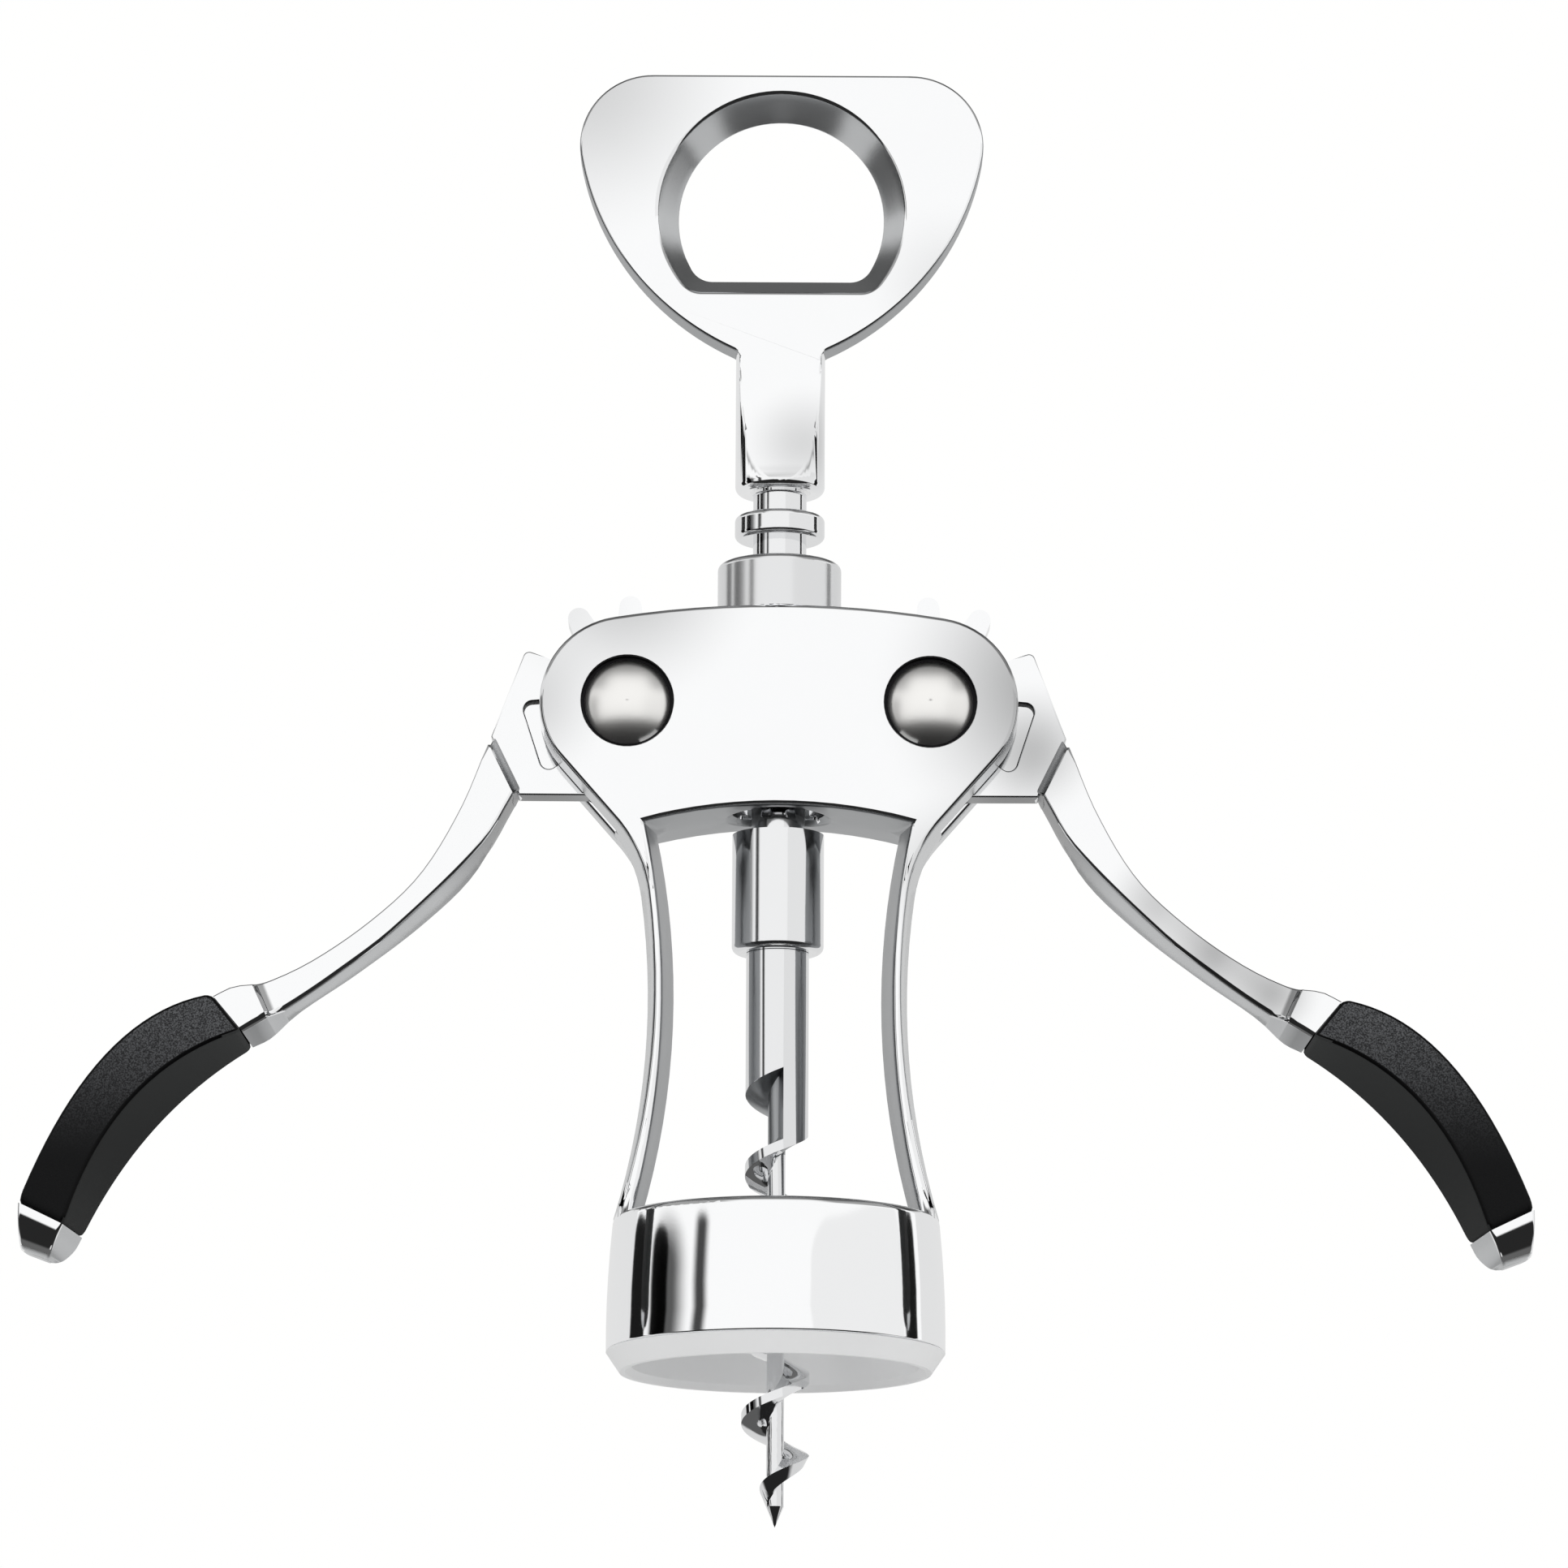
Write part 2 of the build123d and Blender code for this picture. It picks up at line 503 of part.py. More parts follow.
# ---- handle --------------------------------------------------------------------------
with BuildPart() as handle:
    # the round neck, hollowed front and back until it is as thin as the head
    with BuildSketch(Plane.XZ) as neck_profile:
        with Locations((0, NECK_BOTTOM)):
            Rectangle(NECK_R, HEAD_FLANK_Z - NECK_BOTTOM, align=(Align.MIN, Align.MIN))
        fillet(neck_profile.vertices().sort_by_distance((NECK_R, NECK_BOTTOM))[0], NECK_EDGE)
    revolve(axis=Axis.Z)
    with BuildSketch(Plane.YZ):
        with BuildLine():
            blade = Line((HEAD_HALF, HEAD_TOP), (HEAD_HALF, SCOOP_TOP))
            scoop = TangentArc(blade @ 1, (NECK_R + NECK_EDGE / 4, NECK_BOTTOM), tangent=(0, -1))
            Polyline(scoop @ 1, (2 * NECK_R, NECK_BOTTOM), (2 * NECK_R, HEAD_TOP), blade @ 0)
        make_face()
        mirror(about=Plane.YZ)
    extrude(amount=2 * NECK_R, both=True, mode=Mode.SUBTRACT)
    # the flat head, with a tongue that runs down inside the neck
    with BuildSketch(Plane.XZ) as head_outline:
        with BuildLine():
            top = Line((0, HEAD_TOP), (HEAD_FLAT_HALF, HEAD_TOP))
            TangentArc(top @ 1, (HEAD_WIDEST_HALF, HEAD_WIDEST_Z), tangent=(1, 0))
            lower = ThreePointArc(
                (HEAD_WIDEST_HALF, HEAD_WIDEST_Z),
                (HEAD_FLANK_X, HEAD_FLANK_Z),
                (TONGUE_HALF, HEAD_FOOT_Z),
            )
            Polyline(lower @ 1, (TONGUE_HALF, SCOOP_TOP - 2 * NECK_R), (0, SCOOP_TOP - 2 * NECK_R), top @ 0)
        make_face()
        fillet(head_outline.vertices().sort_by_distance((TONGUE_HALF, HEAD_FOOT_Z))[0], HEAD_FOOT_FILLET)
        mirror(about=Plane.YZ)
    extrude(amount=HEAD_HALF, both=True)
    # the opener's hole, flared to both faces
    loft([hole_outline(0), hole_outline(1)], ruled=True, mode=Mode.SUBTRACT)
    loft([hole_outline(0), hole_outline(-1)], ruled=True, mode=Mode.SUBTRACT)
    # the socket that grips the worm's shank
    with BuildSketch(Plane.XY.offset(NECK_BOTTOM)):
        Circle(SHANK_R)
    extrude(amount=SHANK_GRIP, mode=Mode.SUBTRACT)
handle.part.label = "handle"

# ---- levers, grips and end caps ------------------------------------------------------
with BuildPart() as tang:
    with BuildSketch(ARM_PLANE):
        with BuildLine():
            ThreePointArc(TANG_LINE)
        trace(line_width=TANG_THICKNESS)
    extrude(amount=TANG_HALF, both=True)

with BuildPart() as lever_left:
    # the arm, from its middle out to its face, both ways
    loft(
        [arm_outline(0, ARM_RIDGE, ARM_INNER_MIDDLE), arm_outline(ARM_HALF, 0, ARM_INNER_FACE)],
        ruled=True,
    )
    mirror(about=Plane.XZ)
    # its faces dip towards the grip and rise again at the collar
    with BuildSketch(Plane(origin=ARM_PLANE.origin, x_dir=ARM_PLANE.x_dir, z_dir=ARM_PLANE.y_dir)):
        for facing in (1, -1):
            with BuildLine():
                dip = Spline([(x, facing * y) for x, y in ARM_DIP])
                Polyline(dip @ 1, (ARM_DIP[-1][0], facing * 2 * ARM_HALF),
                         (ARM_DIP[0][0], facing * 2 * ARM_HALF), dip @ 0)
            make_face()
    extrude(amount=2 * HUB_R, both=True, mode=Mode.SUBTRACT)
    # the plate and its gear
    add(tang.part)
    with BuildSketch(GEAR_PLANE):
        with PolarLocations(TOOTH_TIP_R - TOOTH_ROUND, TOOTH_COUNT, TEETH_START, TOOTH_COUNT * TOOTH_STEP):
            Circle(TOOTH_ROUND)
            Polygon(
                (0, TOOTH_ROUND),
                (0, -TOOTH_ROUND),
                (TOOTH_ROOT_X, -TOOTH_ROOT_HALF),
                (TOOTH_ROOT_X, TOOTH_ROOT_HALF),
                align=None,
            )
    extrude(amount=PLATE_HALF, both=True)
    extrude(plate_outline(ARM_PLANE), amount=PLATE_HALF, both=True)
    # a shallow pocket in each side of the plate
    for facing in (1, -1):
        with BuildSketch(ARM_PLANE.offset(facing * (PLATE_HALF - POCKET_DEPTH))) as pocket:
            Polygon(*PLATE_POCKET, align=None)
            Circle(POCKET_INNER_R, mode=Mode.SUBTRACT)
            fillet(pocket.vertices(), POCKET_ROUND)
        extrude(amount=facing * POCKET_DEPTH, mode=Mode.SUBTRACT)
    # the bore that turns on the rivet
    with BuildSketch(GEAR_PLANE):
        Circle(RIVET_SHANK_R + RUNNING)
    extrude(amount=PLATE_HALF, both=True, mode=Mode.SUBTRACT)
lever_left.part.label = "lever_left"

with BuildPart() as grip_left:
    loft([grip_outline(0, 0, GRIP_INNER), grip_outline(GRIP_HALF, GRIP_CROWN, GRIP_FACE_INNER)], ruled=True)
    mirror(about=Plane.XZ)
    long_edges = grip_left.edges().filter_by(lambda e: e.length > 20 and abs(e.center().Y) > GRIP_HALF / 2)
    fillet(long_edges, GRIP_EDGE)
    add(tang.part, mode=Mode.SUBTRACT)
grip_left.part.label = "grip_left"

with BuildPart() as end_cap_left:
    loft(
        [
            cap_outline(0, 0, GRIP_INNER[2], CAP_TIP),
            cap_outline(GRIP_HALF, GRIP_CROWN, GRIP_FACE_INNER[2], CAP_TIP_FACE),
        ],
        ruled=True,
    )
    mirror(about=Plane.XZ)
    add(tang.part, mode=Mode.SUBTRACT)
end_cap_left.part.label = "end_cap_left"

# ---- pivot rivets --------------------------------------------------------------------
# Each rivet is two domed halves: the front one's hollow shank takes the rear one's pin.
with BuildPart() as rivet_front_left:
    with BuildSketch(RIVET_PLANE):
        with BuildLine():
            dome = TangentArc((0, -HEAD_APEX), (RIVET_HEAD_R, RIVET_DOME - HEAD_APEX), tangent=(1, 0))
            Polyline(
                dome @ 1,
                (RIVET_HEAD_R, -RECESS_FLOOR),
                (RIVET_SHANK_R, -RECESS_FLOOR),
                (RIVET_SHANK_R, RECESS_FLOOR),
                (RIVET_CORE_R, RECESS_FLOOR),
                (RIVET_CORE_R, -RECESS_FLOOR),
                (0, -RECESS_FLOOR),
                dome @ 0,
            )
        make_face()
    revolve(axis=PIVOT_AXIS)
rivet_front_left.part.label = "rivet_front_left"

with BuildPart() as rivet_rear_left:
    with BuildSketch(RIVET_PLANE):
        with BuildLine():
            dome = TangentArc((0, HEAD_APEX), (RIVET_HEAD_R, HEAD_APEX - RIVET_DOME), tangent=(1, 0))
            Polyline(
                dome @ 1,
                (RIVET_HEAD_R, RECESS_FLOOR),
                (RIVET_CORE_R, RECESS_FLOOR),
                (RIVET_CORE_R, RIVET_CORE_R - RECESS_FLOOR),
                (0, RIVET_CORE_R - RECESS_FLOOR),
                dome @ 0,
            )
        make_face()
    revolve(axis=PIVOT_AXIS)
rivet_rear_left.part.label = "rivet_rear_left"

# ---- right-hand pieces, the mirror image of the left ---------------------------------
with BuildPart() as lever_right:
    mirror(lever_left.part, about=Plane.YZ)
lever_right.part.label = "lever_right"

with BuildPart() as grip_right:
    mirror(grip_left.part, about=Plane.YZ)
grip_right.part.label = "grip_right"

with BuildPart() as end_cap_right:
    mirror(end_cap_left.part, about=Plane.YZ)
end_cap_right.part.label = "end_cap_right"

with BuildPart() as rivet_front_right:
    mirror(rivet_front_left.part, about=Plane.YZ)
rivet_front_right.part.label = "rivet_front_right"

with BuildPart() as rivet_rear_right:
    mirror(rivet_rear_left.part, about=Plane.YZ)
rivet_rear_right.part.label = "rivet_rear_right"

# ---- one STEP file for each piece ----------------------------------------------------
os.makedirs("parts", exist_ok=True)
export_step(frame.part, "parts/frame.step")
export_step(guide_bush.part, "parts/guide_bush.step")
export_step(bell_liner.part, "parts/bell_liner.step")
export_step(rack_spindle.part, "parts/rack_spindle.step")
export_step(worm.part, "parts/worm.step")
export_step(handle.part, "parts/handle.step")
export_step(lever_left.part, "parts/lever_left.step")
export_step(lever_right.part, "parts/lever_right.step")
export_step(grip_left.part, "parts/grip_left.step")
export_step(grip_right.part, "parts/grip_right.step")
export_step(end_cap_left.part, "parts/end_cap_left.step")
export_step(end_cap_right.part, "parts/end_cap_right.step")
export_step(rivet_front_left.part, "parts/rivet_front_left.step")
export_step(rivet_front_right.part, "parts/rivet_front_right.step")
export_step(rivet_rear_left.part, "parts/rivet_rear_left.step")
export_step(rivet_rear_right.part, "parts/rivet_rear_right.step")
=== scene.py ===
# %% [markdown]
# # A wing corkscrew in polished chrome
#
# The object is a bar tool cast in zinc and plated bright: a frame with a bell at its
# foot, a toothed spindle that carries a steel worm, two geared arms with black grips,
# and a bottle opener for a handle. The solids arrive as a fixed frame that is never
# moved. This script dresses them. It rounds the edges of the castings, draws the arms,
# grips and caps as smooth sections, gives every surface its finish, and builds the
# white studio that the chrome mirrors.

# %% Load the frame
from math import cos, degrees, pi, radians, sin, sqrt

import bmesh
import bpy
from mathutils import Matrix, Vector


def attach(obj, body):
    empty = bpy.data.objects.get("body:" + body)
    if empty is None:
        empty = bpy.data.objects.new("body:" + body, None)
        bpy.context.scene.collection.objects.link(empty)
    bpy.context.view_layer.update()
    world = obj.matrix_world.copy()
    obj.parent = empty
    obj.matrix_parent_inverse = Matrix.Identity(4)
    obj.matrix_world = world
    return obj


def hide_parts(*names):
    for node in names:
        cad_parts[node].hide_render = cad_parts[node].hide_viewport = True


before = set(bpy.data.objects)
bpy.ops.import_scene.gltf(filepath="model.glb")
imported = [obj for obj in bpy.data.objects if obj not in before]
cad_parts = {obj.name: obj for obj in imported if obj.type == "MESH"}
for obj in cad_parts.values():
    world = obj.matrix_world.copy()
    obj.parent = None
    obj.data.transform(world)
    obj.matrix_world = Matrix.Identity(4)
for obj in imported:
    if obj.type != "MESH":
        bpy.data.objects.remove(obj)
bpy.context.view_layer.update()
MM = 0.001
print("nodes:", ", ".join(sorted(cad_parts)))

# %% [markdown]
# ## Shader maths as expressions
#
# A procedural finish is a small sum: some noise, some wear, a mask. Written node by
# node such a sum is hard to read, so one class wraps a socket, and the ordinary
# operators add the Math nodes behind it. Every other node comes from one method,
# `node`, which sets the node's options first and then its inputs. The few nodes that
# come back in every finish have a short name of their own. One of them is `blend`,
# because a colour would turn grey in a Math node.

# %% A socket that does arithmetic
class Socket:
    """One output of a node tree that can be added, multiplied and compared."""

    def __init__(self, tree, output):
        self.tree = tree
        self.output = output

    def node(self, kind, settings=None, output=0, **inputs):
        return add_node(self.tree, kind, settings, output, **inputs)

    def math(self, operation, other=0.5):
        inputs = {"0": self, "1": other}
        return self.node("ShaderNodeMath", {"operation": operation}, **inputs)

    def __add__(self, other):
        return self.math("ADD", other)

    def __mul__(self, other):
        return self.math("MULTIPLY", other)

    def __sub__(self, other):
        return self.math("SUBTRACT", other)

    def __rsub__(self, other):
        return (self * -1.0) + other

    def __gt__(self, other):
        return self.math("GREATER_THAN", other)

    __radd__ = __add__
    __rmul__ = __mul__

    def feed(self, socket):
        """Links this output to an input."""
        self.tree.links.new(self.output, socket)


# %% New nodes and new materials
def add_node(tree, kind, settings=None, output=0, **inputs):
    """Adds a node: its settings first, then the values or links of its inputs."""
    made = tree.nodes.new(kind)
    for name, value in (settings or {}).items():
        if name == "stops":
            ramp = made.color_ramp
            for place, grey in value[2:]:
                ramp.elements.new(place)
            for element, (place, grey) in zip(ramp.elements, value):
                element.position = place
                element.color = (grey, grey, grey, 1)
        else:
            setattr(made, name, value)
    for name, value in inputs.items():
        key = int(name) if name.isdigit() else name.replace("_", " ")
        if isinstance(value, Socket):
            value.feed(made.inputs[key])
        else:
            made.inputs[key].default_value = value
    return Socket(tree, made.outputs[output])


def new_material(name):
    """A material, the inputs of its Principled shader, and its object coordinates."""
    material = bpy.data.materials.new(name)
    material.use_nodes = True
    tree = material.node_tree
    place = add_node(tree, "ShaderNodeTexCoord", output="Object")
    return material, tree.nodes["Principled BSDF"].inputs, place


# %% The nodes that come back often
COLOUR_MIX = 2              # the Mix node's colour output; its colours go into 6 and 7


def axis(place, letter):
    """One coordinate of a place."""
    return place.node("ShaderNodeSeparateXYZ", output=letter, Vector=place)


def noise(place, scale, detail, roughness):
    """Soft noise over a place, with about so many features to the metre."""
    return place.node("ShaderNodeTexNoise", {"noise_dimensions": "3D"}, Vector=place,
                      Scale=scale, Detail=detail, Roughness=roughness)


def smooth(value, start, end):
    """A soft step from 0 where the value is at its start to 1 at its end."""
    return value.node("ShaderNodeMapRange", {"interpolation_type": "SMOOTHSTEP"},
                      Value=value, From_Min=start, From_Max=end)


def blend(share, first, second):
    """The colour that lies a share of the way from one to another."""
    first, second = (colour if isinstance(colour, Socket) else (*colour, 1)
                     for colour in (first, second))
    return share.node("ShaderNodeMix", {"data_type": "RGBA"}, COLOUR_MIX,
                      **{"0": share, "6": first, "7": second})


def relief(height, strength, depth):
    """A surface direction that leans where a height rises and falls."""
    return height.node("ShaderNodeBump", Strength=strength, Distance=depth, Height=height)


# %% [markdown]
# ## Chrome, steel and nickel
#
# Chrome plate takes its look from what it mirrors, so its colour is nearly white and
# almost even. What makes it real is in the gloss: broad faint clouds and a fine grain.
# Darker patches of painted shade are also put into the colour, where the chrome shows
# darker reflections. The sides of the castings never meet the polishing wheel, so they
# are rougher and blur what they mirror, and they are painted a grey shade. One function
# makes all of these metals, because they differ only in numbers.

# %% A plated or ground metal
CLOUD_SCALE = 90.0
CLOUD_DULLS = 0.015         # the share of its colour that the metal loses in a cloud
GRAIN_DEPTH = 0.02 * MM
BLACK = (0, 0, 0)


def metal(name, colour, roughness, cloud, grain, bump, shade_patches=()):
    """A metal with clouds in its gloss, a fine grain, and patches of painted shade."""
    material, shader, place = new_material(name)
    clouds = noise(place, CLOUD_SCALE, detail=3.0, roughness=0.6)
    fine = noise(place, grain, detail=4.0, roughness=0.65)
    (clouds * cloud + (roughness - cloud / 2)).feed(shader["Roughness"])
    clouds_and_painted_shade = clouds * CLOUD_DULLS
    # Each patch darkens the colour towards black: painted shade.
    for centre, radius, depth in shade_patches:
        away = place.node("ShaderNodeVectorMath", {"operation": "DISTANCE"},
                          output="Value", **{"0": place, "1": Vector(centre) * MM})
        clouds_and_painted_shade = clouds_and_painted_shade + smooth(away, radius * MM, 0.0) * depth
    blend(clouds_and_painted_shade, colour, BLACK).feed(shader["Base Color"])
    relief(fine, bump, GRAIN_DEPTH).feed(shader["Normal"])
    shader["Metallic"].default_value = 1.0
    return material


# %% The mirror chrome of each casting, with its own patches of painted shade
# A patch of painted shade is a centre in millimetres, a radius in millimetres, and a depth from 0
# to 1.
PAINTED_SHADE_PATCHES = {
    "frame": [((36, -8, 86), 25, 0.6), ((-20, -8, 101), 19, 0.42), ((22, -7, 62), 12, 0.3),
              ((-32, -8, 84), 12, 0.3)],
    "handle": [((-26, -2, 168), 24, 0.32), ((3, -5, 119), 9, 0.28), ((22, -2, 140), 12, 0.15)],
    "lever_left": [((-27, -2, 97), 10, 0.12)],
    "lever_right": [((32, -2, 79), 10, 0.45), ((48, -4, 59), 8, 0.35), ((55, -4, 53), 8, 0.5),
                    ((62, -4, 48), 7, 0.5)],
}
# Broad patches of painted shade on the sides of the arms.
ARM_SIDE_PAINTED_SHADE = [((-30, 0, 70), 18, 0.8), ((30, 0, 70), 18, 0.8)]
MIRROR = {"colour": (0.96, 0.965, 0.975), "roughness": 0.05, "cloud": 0.03,
          "grain": 2500.0, "bump": 0.04}
polished = {node: metal("chrome_" + node, shade_patches=shade_patches, **MIRROR) for node, shade_patches in PAINTED_SHADE_PATCHES.items()}
chrome = metal("chrome_polished", **MIRROR)
print("mirror chrome for", ", ".join(polished), "and the caps")

# %% The duller metals
# The greys of chrome_side, flare and arm_side are painted shade on the sides and undersides of the
# castings and arms; their rougher gloss is their own.
SIDE_SHADE_GREY = (0.36, 0.37, 0.38)
BARREL_ROUGHNESS = 0.34
chrome_side = metal("chrome_rough_painted_shade", SIDE_SHADE_GREY, BARREL_ROUGHNESS,
                    cloud=0.08, grain=3000.0, bump=0.25)
flare = metal("chrome_flare", (0.60, 0.61, 0.62), roughness=0.24,
              cloud=0.06, grain=2500.0, bump=0.1)
arm_side = metal("chrome_arm_side", (0.62, 0.63, 0.64), roughness=0.3,
                 cloud=0.08, grain=3000.0, bump=0.2, shade_patches=ARM_SIDE_PAINTED_SHADE)
steel = metal("steel_worm", (0.82, 0.825, 0.835), roughness=0.05,
              cloud=0.02, grain=2500.0, bump=0.05)
satin = metal("steel_turned", (0.86, 0.865, 0.875), roughness=0.085,
              cloud=0.03, grain=2500.0, bump=0.06)
brushed = metal("steel_brushed", (0.80, 0.805, 0.815), roughness=0.2,
                cloud=0.04, grain=2500.0, bump=0.1)
nickel = metal("nickel_satin", (0.95, 0.94, 0.92), roughness=0.3,
               cloud=0.05, grain=2500.0, bump=0.2)
# Nearly black: painted shade in the recesses round the rivets and in the pockets of the plates.
gap_shade = metal("gap_painted_shade", (0.03, 0.03, 0.032), roughness=0.5,
                 cloud=0.1, grain=2500.0, bump=0.2)
print("metals:", ", ".join(material.name for material in bpy.data.materials))

# %% [markdown]
# ## The milled end of the flute
#
# The worm starts as a plain blank, and the cutter that made its flute left a hollow
# where it ran out. The hollow is part of the solid, but its finish isn't: the cutter
# leaves a rougher surface than the grinding wheel leaves round it, and the hollow is
# painted a grey shade. A mask does this without any cut in the mesh. It is 1 between
# two heights and nearer to the axis than the blank's own surface, and it mixes the cut
# finish over the ground one.

# %% A mask over the hollow
MILLED_FROM = 27.5 * MM
MILLED_TO = 38.3 * MM
MILLED_RADIUS = 3.88 * MM


def mill_and_shade(material, colour, roughness):
    """Gives the hollow at the flute's end the cutter's rougher gloss and a painted grey shade."""
    tree = material.node_tree
    shader = tree.nodes["Principled BSDF"].inputs
    place = add_node(tree, "ShaderNodeTexCoord", output="Object")
    x, y, height = (axis(place, letter) for letter in "XYZ")
    from_axis = (x * x + y * y).math("SQRT")
    hollow = (1.0 - (from_axis > MILLED_RADIUS)) * (height > MILLED_FROM)
    hollow = hollow * (1.0 - (height > MILLED_TO))
    ground, gloss = (Socket(tree, shader[name].links[0].from_socket)
                     for name in ("Base Color", "Roughness"))
    blend(hollow, ground, colour).feed(shader["Base Color"])
    hollow.node("ShaderNodeMix", {"data_type": "FLOAT"},
                **{"0": hollow, "2": gloss, "3": roughness}).feed(shader["Roughness"])


mill_and_shade(steel, SIDE_SHADE_GREY, BARREL_ROUGHNESS)
print("the flute's end is milled over", round((MILLED_TO - MILLED_FROM) / MM, 1), "mm")

# %% [markdown]
# ## Black grips and a white liner
#
# The grips are moulded in hard black plastic. Their flat faces carry a fine leather-like
# stipple, their sides are smooth, and a painted black shade runs where the two meet.
# The smooth sides have a painted colour of their own, lighter than the faces where they
# are darkest, as painted light from below. One noise makes the stipple: its peaks are
# picked out by a soft step, and they are a little duller and raised, and painted paler
# than the hollows, as painted light on the relief. The grips are painted paler near the
# arm and nearly black towards the far end, as painted light. The liner in the bell is
# white moulded plastic, and a broad noise gives it the faint flow marks of moulding.

# %% Grip plastic
LIT_FROM = 25 * MM         # the heights between which the painted light fades in
LIT_TO = 48 * MM
PEAK_FROM = 0.35            # the levels of the noise between which a peak rises
PEAK_TO = 0.68
PEAK_DULLS = 0.08
PEAK_BUMP = 0.35
PEAK_HEIGHT = 0.03 * MM
PLASTIC_SHEEN = 0.12


def grip_plastic(name, near, far, grain, depth, roughness):
    """Stippled plastic with painted light: paler near the arm, darker at the far end, and hollows
    darker than the peaks.
    """
    material, shader, place = new_material(name)
    lit_share = smooth(axis(place, "Z"), LIT_FROM, LIT_TO)
    peaks = smooth(noise(place, grain, detail=2.0, roughness=0.6), PEAK_FROM, PEAK_TO)
    shaded_hollows = tuple(level * (1 - depth) for level in near)
    blend(lit_share, far, blend(peaks, shaded_hollows, near)).feed(shader["Base Color"])
    (peaks * PEAK_DULLS + (roughness - PEAK_DULLS / 2)).feed(shader["Roughness"])
    relief(peaks, PEAK_BUMP * depth, PEAK_HEIGHT).feed(shader["Normal"])
    shader["Specular IOR Level"].default_value = PLASTIC_SHEEN
    return material


# Painted light and shade: the stipple is painted paler near the arm, the smooth sides lighter, and
# the rounds black.
grip_stipple = grip_plastic("grip_stipple", (0.115, 0.118, 0.124), (0.0035, 0.0037, 0.004),
                            grain=5600.0, depth=0.85, roughness=0.5)
grip_smooth = grip_plastic("grip_smooth", (0.046, 0.048, 0.048), (0.024, 0.025, 0.025),
                           grain=5200.0, depth=0.1, roughness=0.5)
grip_edge = grip_plastic("grip_edge", (0.0022, 0.0022, 0.0024), (0.0018, 0.0018, 0.002),
                         grain=5200.0, depth=0.2, roughness=0.4)
print("grip finishes:", grip_stipple.name, grip_smooth.name, grip_edge.name)

# %% Liner plastic
FLOW_SCALE = 700.0
FLOW_DULLS = 0.12
FLOW_HEIGHT = 0.02 * MM


def liner_plastic(name, colour, paler, roughness, bump):
    """Moulded plastic with a faint flow in its colour and gloss."""
    material, shader, place = new_material(name)
    flow = noise(place, FLOW_SCALE, detail=2.0, roughness=0.55)
    blend(flow, colour, paler).feed(shader["Base Color"])
    (flow * FLOW_DULLS + (roughness - FLOW_DULLS / 2)).feed(shader["Roughness"])
    relief(flow, bump, FLOW_HEIGHT).feed(shader["Normal"])
    return material


liner_white = liner_plastic("liner_white", (0.93, 0.935, 0.94), (0.96, 0.965, 0.97),
                            roughness=0.38, bump=0.1)
print("liner finish:", liner_white.name)

# %% [markdown]
# ## Edges that catch the light
#
# A cast edge is never sharp: the barrel wears it to a thin round, and on chrome that
# round is what draws the outline of each form. A Bevel modifier would give every edge
# the same width. Here each region has its own, so the edges are picked by where they
# lie and by how far the surface turns, and bmesh's bevel rounds them on a copy of the
# solid. The copy's loose triangles are merged first and its flat stretches joined, so
# that the bevel meets no stray edges.

# %% Copies of the solids
WELD = 0.5e-6               # corners that lie nearer than this, in metres, are one
FLAT = 0.9999               # how squarely a flat face looks to the front or back


def copy_of(node):
    """A bmesh copy of a solid, with its loose triangles merged into flat faces."""
    shape = bmesh.new()
    shape.from_mesh(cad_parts[node].data)
    bmesh.ops.remove_doubles(shape, verts=shape.verts, dist=WELD)
    flat = [edge for edge in shape.edges
            if all(abs(face.normal.y) > FLAT for face in edge.link_faces)]
    bmesh.ops.dissolve_limit(shape, angle_limit=radians(0.1), verts=[], edges=flat)
    bmesh.ops.join_triangles(shape, faces=shape.faces, angle_face_threshold=radians(4),
                             angle_shape_threshold=radians(70))
    return shape


# %% From a bmesh to a finished piece
SHARP_EDGE = radians(35)
FLAT_FACES_LEAD = 60        # how strongly the large faces set the shading of their rims


def finish_piece(shape, name, body, materials, stands_for=()):
    """Turns a bmesh into an object that rides on a body, shaded smooth up to an angle."""
    mesh = bpy.data.meshes.new(name)
    shape.to_mesh(mesh)
    shape.free()
    for material in materials:
        mesh.materials.append(material)
    mesh.shade_smooth()
    mesh.set_sharp_from_angle(angle=SHARP_EDGE)
    piece = bpy.data.objects.new(name, mesh)
    bpy.context.scene.collection.objects.link(piece)
    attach(piece, body)
    if stands_for:
        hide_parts(*stands_for)
    even = piece.modifiers.new("even_shading", "WEIGHTED_NORMAL")
    even.keep_sharp = True
    even.weight = FLAT_FACES_LEAD
    print(name, "has", len(mesh.polygons), "faces")


# %% Rounding where a flat face meets a side
FACE_TILT = 0.6             # a normal with more depth than this looks to the front or back
SIDE_TILT = 0.62            # and one with less than this looks to a side
EDGE_TURN = radians(25)     # surfaces that meet at less than this are smooth already
ROUND_SEGMENTS = 4


def round_edges(shape, edges, width):
    """Bevels some edges to a round of one width."""
    if edges:
        bmesh.ops.bevel(shape, geom=edges, offset=width, offset_type="OFFSET",
                        segments=ROUND_SEGMENTS, profile=0.5, affect="EDGES", material=-1,
                        clamp_overlap=False, loop_slide=True)
    print("rounded", len(edges), "edges by", round(width / MM, 2), "mm")


